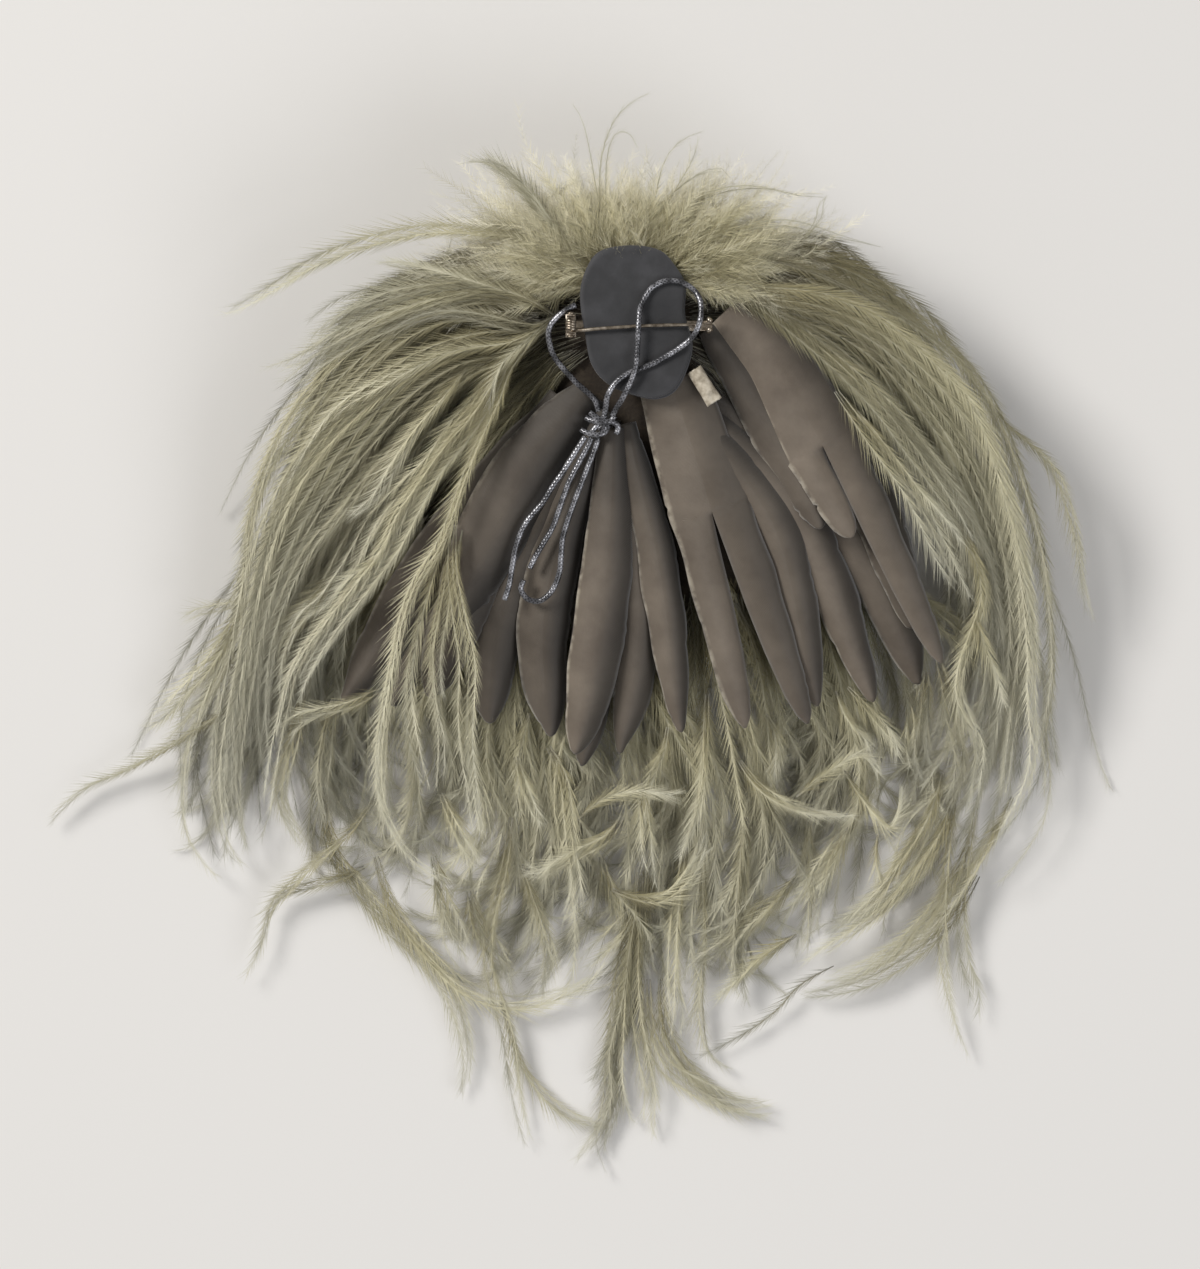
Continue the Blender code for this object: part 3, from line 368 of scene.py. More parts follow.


# Charcoal suede: short nap, cloudy where it is rubbed, paler at the rim as a painted highlight on the cut
# edge
def suedeFinish():
    material, tree, shader = newMaterial("charcoalSuede")
    place = addNode(tree, "ShaderNodeTexCoord")
    clouds = addNode(tree, "ShaderNodeTexNoise", {"Scale": 110.0, "Detail": 4.0, "Roughness": 0.55},
                     {"Vector": place.outputs["Object"]})
    nap = addNode(tree, "ShaderNodeTexNoise", {"Scale": 2600.0, "Detail": 3.0, "Roughness": 0.7},
                  {"Vector": place.outputs["Object"]})
    colours = addNode(tree, "ShaderNodeValToRGB", None, {"Fac": clouds.outputs["Fac"]})
    setRamp(colours, [(0.28, "#222224"), (0.52, "#2e2e30"), (0.75, "#3d3d40")])
    # painted highlight along the cut rim
    rim = addNode(tree, "ShaderNodeAttribute", {"attribute_name": "rim"})
    edged = addNode(tree, "ShaderNodeMix", {"data_type": "RGBA"},
                    {0: rim.outputs["Fac"], 6: colours.outputs["Color"]})
    edged.inputs[7].default_value = hexColour("#4d4d50")
    relief = addNode(tree, "ShaderNodeBump", {"Strength": 0.35, "Distance": 0.15 * mm},
                     {"Height": nap.outputs["Fac"]})
    soft = addNode(tree, "ShaderNodeBump", {"Strength": 0.6, "Distance": 0.5 * mm},
                   {"Height": clouds.outputs["Fac"], "Normal": relief.outputs["Normal"]})
    tree.links.new(edged.outputs[2], shader.inputs["Base Color"])
    tree.links.new(soft.outputs["Normal"], shader.inputs["Normal"])
    shader.inputs["Roughness"].default_value = 0.72
    shader.inputs["Sheen Weight"].default_value = 0.35
    shader.inputs["Sheen Roughness"].default_value = 0.4
    return material


# Nickel-plated steel wire, dulled and browned with age
def platedFinish():
    material, tree, shader = newMaterial("agedNickelWire")
    place = addNode(tree, "ShaderNodeTexCoord")
    tarnish = addNode(tree, "ShaderNodeTexNoise", {"Scale": 600.0, "Detail": 5.0, "Roughness": 0.65},
                      {"Vector": place.outputs["Object"]})
    colours = addNode(tree, "ShaderNodeValToRGB", None, {"Fac": tarnish.outputs["Fac"]})
    setRamp(colours, [(0.32, "#6b5f52"), (0.5, "#a89c8c"), (0.72, "#d2c9bc")])
    rough = addNode(tree, "ShaderNodeMapRange", {"To Min": 0.2, "To Max": 0.5},
                    {"Value": tarnish.outputs["Fac"]})
    tree.links.new(colours.outputs["Color"], shader.inputs["Base Color"])
    tree.links.new(rough.outputs["Result"], shader.inputs["Roughness"])
    shader.inputs["Metallic"].default_value = 1.0
    return material


# Braided elastic: black rubber core under silver and black yarns, glossy on the crowns
def cordFinish():
    material, tree, shader = newMaterial("braidedElastic")
    around = addNode(tree, "ShaderNodeAttribute", {"attribute_name": "around"})
    alongMm = addNode(tree, "ShaderNodeAttribute", {"attribute_name": "alongMm"})
    place = addNode(tree, "ShaderNodeTexCoord")
    strands = []
    # two families of four yarns each, one turn in 3.6 mm, wound opposite ways
    for sign in (1.0, -1.0):
        wound = addNode(tree, "ShaderNodeMath", {"operation": "MULTIPLY", 1: sign * 2.0 * math.pi * 1.1},
                        {0: alongMm.outputs["Fac"]})
        turn = addNode(tree, "ShaderNodeMath", {"operation": "MULTIPLY_ADD", 1: 2.0 * math.pi * 4.0},
                       {0: around.outputs["Fac"], 2: wound.outputs["Value"]})
        strands.append(addNode(tree, "ShaderNodeMath", {"operation": "SINE"},
                               {0: turn.outputs["Value"]}))
    weave = addNode(tree, "ShaderNodeMath", {"operation": "MAXIMUM"},
                    {0: strands[0].outputs["Value"], 1: strands[1].outputs["Value"]})
    patches = addNode(tree, "ShaderNodeTexNoise", {"Scale": 420.0, "Detail": 1.0},
                      {"Vector": place.outputs["Object"]})
    mixed = addNode(tree, "ShaderNodeMath", {"operation": "MULTIPLY_ADD", 1: 0.18},
                    {0: weave.outputs["Value"], 2: patches.outputs["Fac"]})
    colours = addNode(tree, "ShaderNodeValToRGB", None, {"Fac": mixed.outputs["Value"]})
    setRamp(colours, [(0.30, "#29292b"), (0.55, "#515155"), (0.80, "#98989d")])
    relief = addNode(tree, "ShaderNodeBump", {"Strength": 0.3, "Distance": 0.06 * mm},
                     {"Height": weave.outputs["Value"]})
    tree.links.new(colours.outputs["Color"], shader.inputs["Base Color"])
    tree.links.new(relief.outputs["Normal"], shader.inputs["Normal"])
    shader.inputs["Roughness"].default_value = 0.22
    shader.inputs["Metallic"].default_value = 0.35
    shader.inputs["Specular IOR Level"].default_value = 0.8
    return material


# Clipped quill end: cream keratin, slightly glossy, browned in streaks
def quillFinish():
    material, tree, shader = newMaterial("creamQuill")
    place = addNode(tree, "ShaderNodeTexCoord")
    streaks = addNode(tree, "ShaderNodeTexNoise", {"Scale": 700.0, "Detail": 4.0},
                      {"Vector": place.outputs["Object"]})
    colours = addNode(tree, "ShaderNodeValToRGB", None, {"Fac": streaks.outputs["Fac"]})
    setRamp(colours, [(0.3, "#8a8070"), (0.5, "#b4aa98"), (0.75, "#d8cfbe")])
    tree.links.new(colours.outputs["Color"], shader.inputs["Base Color"])
    shader.inputs["Roughness"].default_value = 0.38
    return material


charcoalSuede = suedeFinish()
agedNickel = platedFinish()
braidedElastic = cordFinish()
creamQuill = quillFinish()
paintedShadeDown = downFinish()


# Fronds grown by Geometry Nodes along guide lines

flueSettings = {
    "barbSpacing": 0.42 * mm,
    "barbWidth": 0.42 * mm,        # at its foot, measured along the shaft
    "barbLength": 6.2 * mm,
    "barbSlant": 19.0,             # degrees from the shaft
    "shaftWidth": 0.24 * mm,
    "turnJitter": 0.40,            # radians that single barbs turn out of the flue's plane
}


# Two thin triangles that spring from a shaft along +Z, to either side of it
def buildBarbPair(f):
    slant = math.radians(f["barbSlant"])
    reach = Vector((math.sin(slant), 0.0, math.cos(slant))) * f["barbLength"]
    half = f["barbWidth"] / 2.0
    vertices = []
    faces = []
    for sign in (-1.0, 1.0):
        first = len(vertices)
        vertices += [(0.0, 0.0, -half), (0.0, 0.0, half), (reach.x * sign, 0.0, reach.z)]
        faces.append((first, first + 1, first + 2) if sign > 0 else (first + 1, first, first + 2))
    pair = meshPiece("barbPair", vertices, faces, ostrichFibre, smooth=False)
    setAttribute(pair.data, "out", [0.0, 0.0, 1.0, 0.0, 0.0, 1.0])
    return pair


# Tree that turns guide lines into flues: a flat shaft with barbs along both sides
def flueTree():
    tree = bpy.data.node_groups.new("flues", "GeometryNodeTree")
    face = tree.interface
    face.new_socket("Geometry", in_out="INPUT", socket_type="NodeSocketGeometry")
    for name in ("Barb Spacing", "Shaft Width", "Turn Jitter"):
        face.new_socket(name, in_out="INPUT", socket_type="NodeSocketFloat")
    face.new_socket("Seed", in_out="INPUT", socket_type="NodeSocketInt")
    face.new_socket("Barb", in_out="INPUT", socket_type="NodeSocketObject")
    face.new_socket("Material", in_out="INPUT", socket_type="NodeSocketMaterial")
    face.new_socket("Geometry", in_out="OUTPUT", socket_type="NodeSocketGeometry")
    given = addNode(tree, "NodeGroupInput")
    result = addNode(tree, "NodeGroupOutput")
    twist = addNode(tree, "GeometryNodeInputNamedAttribute", {"Name": "twist"})
    size = addNode(tree, "GeometryNodeInputNamedAttribute", {"Name": "barbSize"})
    lines = addNode(tree, "GeometryNodeMeshToCurve", None, {"Mesh": given.outputs["Geometry"]})
    upright = addNode(tree, "GeometryNodeSetCurveNormal", {"mode": "Z_UP"},
                      {"Curve": lines.outputs["Curve"]})
    turned = addNode(tree, "GeometryNodeSetCurveTilt", None,
                     {"Curve": upright.outputs["Curve"], "Tilt": twist.outputs["Attribute"]})
    place = addNode(tree, "GeometryNodeSplineParameter")
    marked = addNode(tree, "GeometryNodeStoreNamedAttribute",
                     {"data_type": "FLOAT", "domain": "POINT", "Name": "along"},
                     {"Geometry": turned.outputs["Curve"], "Value": place.outputs["Factor"]})
    thinner = addNode(tree, "ShaderNodeMapRange", {"To Min": 1.0, "To Max": 0.3},
                      {"Value": place.outputs["Factor"]})
    half = addNode(tree, "ShaderNodeMath", {"operation": "MULTIPLY", 1: 0.5},
                   {0: given.outputs["Shaft Width"]})
    minus = addNode(tree, "ShaderNodeMath", {"operation": "MULTIPLY", 1: -0.5},
                    {0: given.outputs["Shaft Width"]})
    left = addNode(tree, "ShaderNodeCombineXYZ", None, {"X": minus.outputs["Value"]})
    right = addNode(tree, "ShaderNodeCombineXYZ", None, {"X": half.outputs["Value"]})
    section = addNode(tree, "GeometryNodeCurvePrimitiveLine", None,
                      {"Start": left.outputs["Vector"], "End": right.outputs["Vector"]})
    shafts = addNode(tree, "GeometryNodeCurveToMesh", None,
                     {"Curve": marked.outputs["Geometry"], "Profile Curve": section.outputs["Curve"],
                      "Scale": thinner.outputs["Result"]})
    roots = addNode(tree, "GeometryNodeCurveToPoints", {"mode": "LENGTH"},
                    {"Curve": marked.outputs["Geometry"], "Length": given.outputs["Barb Spacing"]})
    backTurn = addNode(tree, "ShaderNodeMath", {"operation": "MULTIPLY", 1: -1.0},
                       {0: given.outputs["Turn Jitter"]})
    roll = addNode(tree, "FunctionNodeRandomValue", {"data_type": "FLOAT"},
                   {2: backTurn.outputs["Value"], 3: given.outputs["Turn Jitter"],
                    "Seed": given.outputs["Seed"]})
    rollTurn = addNode(tree, "FunctionNodeAxisAngleToRotation", {"Axis": (0.0, 0.0, 1.0)},
                       {"Angle": roll.outputs[1]})
    lean = addNode(tree, "FunctionNodeRandomValue", {"data_type": "FLOAT", 2: -0.30, 3: 0.30},
                   {"Seed": given.outputs["Seed"]})
    leanTurn = addNode(tree, "FunctionNodeAxisAngleToRotation", {"Axis": (1.0, 0.0, 0.0)},
                       {"Angle": lean.outputs[1]})
    sway = addNode(tree, "FunctionNodeRandomValue", {"data_type": "FLOAT", 2: -0.16, 3: 0.16},
                   {"Seed": given.outputs["Seed"]})
    swayTurn = addNode(tree, "FunctionNodeAxisAngleToRotation", {"Axis": (0.0, 1.0, 0.0)},
                       {"Angle": sway.outputs[1]})
    turns = roots.outputs["Rotation"]
    for extra in (rollTurn, leanTurn, swayTurn):
        step = addNode(tree, "FunctionNodeRotateRotation", {"rotation_space": "LOCAL"},
                       {"Rotation": turns, "Rotate By": extra.outputs["Rotation"]})
        turns = step.outputs["Rotation"]
    growth = addNode(tree, "FunctionNodeRandomValue", {"data_type": "FLOAT", 2: 0.6, 3: 1.2},
                     {"Seed": given.outputs["Seed"]})
    barbScale = addNode(tree, "ShaderNodeMath", {"operation": "MULTIPLY"},
                        {0: growth.outputs[1], 1: size.outputs["Attribute"]})
    barb = addNode(tree, "GeometryNodeObjectInfo", {"transform_space": "ORIGINAL"},
                   {"Object": given.outputs["Barb"]})
    barbs = addNode(tree, "GeometryNodeInstanceOnPoints", None,
                    {"Points": roots.outputs["Points"], "Instance": barb.outputs["Geometry"],
                     "Rotation": turns, "Scale": barbScale.outputs["Value"]})
    real = addNode(tree, "GeometryNodeRealizeInstances", None,
                   {"Geometry": barbs.outputs["Instances"]})
    both = addNode(tree, "GeometryNodeJoinGeometry")
    tree.links.new(shafts.outputs["Mesh"], both.inputs["Geometry"])
    tree.links.new(real.outputs["Geometry"], both.inputs["Geometry"])
    finished = addNode(tree, "GeometryNodeSetMaterial", None,
                       {"Geometry": both.outputs["Geometry"], "Material": given.outputs["Material"]})
    tree.links.new(finished.outputs["Geometry"], result.inputs["Geometry"])
    return tree


fluesTree = flueTree()


# Run the tree along the flues' routes and keep the result as one plain mesh
def growFlues(name, flues, f, material, seed):
    edges = []
    first = 0
    for flue in flues:
        edges += [(first + step, first + step + 1) for step in range(len(flue["route"]) - 1)]
        first += len(flue["route"])
    mesh = bpy.data.meshes.new(name)
    mesh.from_pydata(np.concatenate([flue["route"] for flue in flues]).tolist(), edges, [])
    for attribute in ("tone", "barbSize", "twist"):
        values = [np.broadcast_to(flue[attribute], len(flue["route"])) for flue in flues]
        setAttribute(mesh, attribute, np.concatenate(values))
    piece = bpy.data.objects.new(name, mesh)
    bpy.context.scene.collection.objects.link(piece)
    barb = buildBarbPair(f)
    modifier = piece.modifiers.new("grow", "NODES")
    modifier.node_group = fluesTree
    values = {"Barb Spacing": f["barbSpacing"], "Shaft Width": f["shaftWidth"],
              "Turn Jitter": f["turnJitter"], "Seed": seed, "Barb": barb, "Material": material}
    for item in fluesTree.interface.items_tree:
        if item.in_out == "INPUT" and item.name in values:
            modifier[item.identifier] = values[item.name]
    bakedMesh(piece)
    spots = np.empty(len(piece.data.vertices) * 3)
    piece.data.vertices.foreach_get("co", spots)
    spots[2::3] = np.maximum(spots[2::3], tableGap)      # barbs rest on the table
    piece.data.vertices.foreach_set("co", spots)
    bpy.data.objects.remove(barb, do_unlink=True)
    triangles = len(piece.data.loops) - 2 * len(piece.data.polygons)
    print("  ", name, len(flues), "flues,", triangles, "triangles")
    return piece


# Heights of the fronds above the table, as shares of the head's height, by distance from the pad
overHeights = [(0.15, 1.10), (0.25, 1.13), (0.40, 1.17), (0.60, 1.07), (0.80, 0.90), (1.00, 0.66),
               (1.20, 0.44), (1.40, 0.26), (1.60, 0.14), (2.10, 0.06)]
underHeights = [(0.50, 0.60), (0.70, 0.54), (0.90, 0.48), (1.10, 0.38), (1.30, 0.27), (1.50, 0.16),
                (1.80, 0.08), (2.20, 0.06)]


leftFoot, rightFoot = (556, 318), (716, 272)      # pixels where the plumes' roots meet
footReach = 85.0                                  # pixels


def restHeight(x, y, heights):
    places, shares = zip(*heights)
    return headTop * np.interp(np.hypot(x, y) / span, places, shares)


# Hold a route above the table, and over or under the leaves where they lie
def keepClear(route, over):
    x, y = route[:, 0], route[:, 1]
    angle = np.degrees(np.arctan2(y, x))
    radius = np.hypot(x, y)
    inFan = smoothStep(-134.0, -128.0, angle) * (1.0 - smoothStep(-46.0, -38.0, angle))
    inFan = inFan * (1.0 - smoothStep(0.085, 0.103, radius)) * (radius > 0.02)
    top = leafHeight(x, y, 3) + 2.0 * mm
    bottom = leafHeight(x, y, 0) - 2.6 * mm
    wanted = np.maximum(route[:, 2], top) if over else np.minimum(route[:, 2], bottom)
    route[:, 2] += (wanted - route[:, 2]) * inFan
    route[:, 2] = np.maximum(route[:, 2], tableGap + 0.7 * mm)


# Flues of single fronds whose routes are placed on the photograph. Each row: flues, half spread in mm, tone
# from dark to pale, lift in mm, route in pixels
def frondFlues(rows, heights, over, seed, size=1.0, foot=None):
    rng = np.random.default_rng(seed)
    flues = []
    for number, spread, tone, lift, pixels in rows:
        if foot and math.dist(foot, pixels[0]) < footReach:
            pixels = [foot] + pixels
        plan = np.array([fromPixels(u, v) for u, v in pixels])
        rough = smoothPath(plan, 60)
        length = np.linalg.norm(np.diff(rough, axis=0), axis=1).sum()
        samples = max(int(length / (2.6 * mm)), 8)
        path = smoothPath(plan, samples)
        along = np.gradient(path, axis=0)
        along /= np.linalg.norm(along, axis=1)[:, None]
        side = np.column_stack([along[:, 1], -along[:, 0]])
        t = np.linspace(0.0, 1.0, samples)
        for index in range(number):
            place = (index + 0.5) / number * 2.0 - 1.0 + rng.normal(0.0, 0.25)
            widen = 0.25 + 0.75 * np.sin(math.pi * np.clip(t * 0.85 + 0.05, 0.0, 1.0))
            sway = rng.normal(0.0, 0.5, 2) * mm
            offset = place * spread * mm * widen
            offset = offset + sway[0] * np.sin(6.28 * (t * 1.3 + rng.random())) * t + sway[1] * t
            keep = max(int(samples * rng.uniform(0.84, 1.0)), 5)
            xy = path + side * offset[:, None]
            z = restHeight(xy[:, 0], xy[:, 1], heights) + lift * mm
            z = z - 3.5 * mm * (1.0 - smoothStep(0.0, 0.12, t)) * over
            z = z + rng.normal(0.0, 0.7 * mm) * np.sin(math.pi * t) + rng.normal(0.0, 0.3) * mm
            route = np.column_stack([xy, z])[:keep]
            keepClear(route, over)
            t2 = t[:keep] / t[keep - 1]
            taper = (0.35 + 0.65 * smoothStep(0.0, 0.15, t2)) * (1.0 - 0.45 * smoothStep(0.65, 1.0, t2))
            # tone copies each frond's brightness: pale rows carry painted highlight, dark rows painted
            # shade
            flues.append({
                "route": route,
                "tone": float(np.clip(1.25 * tone - 0.12 + rng.normal(0.0, 0.10), 0.0, 1.0)),
                "barbSize": size * rng.uniform(0.75, 1.15) * taper,
                "twist": rng.normal(0.0, 0.35) + rng.normal(0.0, 0.5) * np.sin(6.28 * (t2 + rng.random())),
            })
    return flues


# Clumped flues between neighbouring guides, to fill a plume under its single fronds
def spreadFlues(guides, p):
    rng = np.random.default_rng(p["seed"])
    samples = 26
    t = np.linspace(0.0, 1.0, samples)
    tt = t[1:]
    scale = np.array([span, span, headTop])
    base = [smoothPath(np.array(guide) * scale, samples) for guide in guides]
    flues = []
    for clump in range(p["clumps"]):
        u = (clump + rng.random()) / p["clumps"] * (len(base) - 1)
        low = min(int(u), len(base) - 2)
        path = base[low] * (1.0 - (u - low)) + base[low + 1] * (u - low)
        steps = np.diff(path, axis=0)
        heading = np.unwrap(np.arctan2(steps[:, 1], steps[:, 0]))
        stride = np.hypot(steps[:, 0], steps[:, 1])
        depth = rng.random()
        bend = rng.normal(0.0, p["wander"], 2)
        phase = rng.random(2)
        curlBy = rng.normal(p["curl"], p["curlSpread"])
        start = path[0, :2] + rng.normal(0.0, p["rootSpread"], 2)
        reach = rng.uniform(*p["length"])
        for index in range(p["flues"]):
            wander = bend[0] * tt + bend[1] * np.sin(6.28 * ((1.1 + 0.8 * phase[1]) * tt + phase[0]))
            own = rng.normal(0.0, p["ownWander"]) * tt
            own = own + rng.normal(0.0, p["ownWander"] * 0.7) * np.sin(6.28 * (1.6 * tt + rng.random()))
            curl = (curlBy + rng.normal(0.0, 0.2)) * smoothStep(rng.uniform(0.5, 0.75), 1.0, tt)
            angle = heading + wander + own + curl
            step = stride * reach * rng.uniform(0.85, 1.05)
            moves = np.column_stack([np.cos(angle), np.sin(angle)]) * step[:, None]
            foot = start + rng.normal(0.0, 0.9 * mm, 2)
            xy = np.vstack([foot, foot + np.cumsum(moves, axis=0)])
            z = path[:, 2] - (p["sink"] + depth * p["depth"]) * smoothStep(0.0, 0.35, t)
            z = z + rng.normal(0.0, 1.2 * mm) * t
            route = np.column_stack([xy, z])
            keepClear(route, p["over"])
            if np.abs(xy[-8:, 0]).min() < p["inner"]:       # strays across the leaves are combed out
                continue
            taper = (0.35 + 0.65 * smoothStep(0.0, 0.12, t)) * (1.0 - 0.4 * smoothStep(0.6, 1.0, t))
            # deeper flues get a darker tone: painted shade in the depth of the plume
            flues.append({
                "route": route,
                "tone": float(np.clip(p["tone"] - 0.35 * depth + rng.normal(0.0, 0.10), 0.0, 1.0)),
                "barbSize": rng.uniform(0.8, 1.2) * taper,
                "twist": rng.normal(0.0, 0.5) + rng.normal(0.0, 0.6) * np.sin(6.28 * (t + rng.random())),
            })
    return flues


leftGuides = [
    [(-0.24, 0.08, 1.11), (-0.42, 0.14, 1.12), (-0.62, 0.10, 0.95), (-0.78, -0.02, 0.70),
     (-0.86, -0.16, 0.45)],
    [(-0.24, 0.06, 1.11), (-0.45, 0.06, 1.15), (-0.68, -0.08, 0.95), (-0.82, -0.32, 0.70),
     (-0.88, -0.58, 0.45), (-0.96, -0.86, 0.25), (-1.00, -1.10, 0.14)],
    [(-0.24, 0.02, 1.11), (-0.42, -0.02, 1.15), (-0.62, -0.20, 0.98), (-0.74, -0.44, 0.75),
     (-0.82, -0.70, 0.52), (-0.88, -0.98, 0.32), (-0.90, -1.22, 0.20)],
    [(-0.24, -0.02, 1.11), (-0.38, -0.09, 1.17), (-0.55, -0.27, 1.03), (-0.70, -0.54, 0.84),
     (-0.80, -0.82, 0.62), (-0.85, -1.05, 0.42), (-0.82, -1.28, 0.30)],
]
rightGuides = [
    [(0.27, 0.13, 1.11), (0.46, 0.12, 1.15), (0.70, -0.06, 0.95), (0.86, -0.32, 0.70),
     (0.94, -0.64, 0.45), (0.95, -0.95, 0.25), (0.84, -1.28, 0.16)],
    [(0.27, 0.12, 1.11), (0.44, 0.06, 1.16), (0.64, -0.12, 1.00), (0.78, -0.38, 0.80),
     (0.88, -0.68, 0.58), (0.88, -0.98, 0.40), (0.76, -1.25, 0.30)],
    [(0.27, 0.11, 1.11), (0.44, 0.00, 1.20), (0.60, -0.16, 1.12), (0.72, -0.38, 0.96),
     (0.80, -0.64, 0.78), (0.80, -0.92, 0.58), (0.68, -1.15, 0.45)],
]
fringeGuides = [
    [(-0.48, -0.40, 0.50), (-0.70, -0.72, 0.32), (-0.84, -0.98, 0.14), (-0.86, -1.18, 0.10),
     (-0.78, -1.28, 0.10)],
    [(-0.40, -0.52, 0.55), (-0.54, -0.85, 0.42), (-0.58, -1.10, 0.26), (-0.61, -1.24, 0.15),
     (-0.55, -1.34, 0.10)],
    [(-0.27, -0.60, 0.58), (-0.34, -0.95, 0.46), (-0.30, -1.20, 0.30), (-0.38, -1.40, 0.18),
     (-0.40, -1.55, 0.10)],
    [(-0.10, -0.64, 0.58), (-0.12, -0.98, 0.46), (-0.06, -1.25, 0.32), (-0.12, -1.45, 0.20),
     (-0.16, -1.60, 0.12)],
    [(0.06, -0.64, 0.58), (0.06, -0.98, 0.46), (0.12, -1.25, 0.32), (0.04, -1.45, 0.20),
     (0.00, -1.58, 0.12)],
    [(0.22, -0.61, 0.58), (0.28, -0.95, 0.46), (0.34, -1.20, 0.30), (0.26, -1.42, 0.20),
     (0.16, -1.52, 0.12)],
    [(0.36, -0.55, 0.55), (0.50, -0.88, 0.42), (0.56, -1.12, 0.26), (0.50, -1.36, 0.15),
     (0.40, -1.46, 0.10)],
    [(0.46, -0.42, 0.50), (0.70, -0.76, 0.32), (0.80, -1.02, 0.14), (0.74, -1.26, 0.10),
     (0.62, -1.40, 0.10)],
]
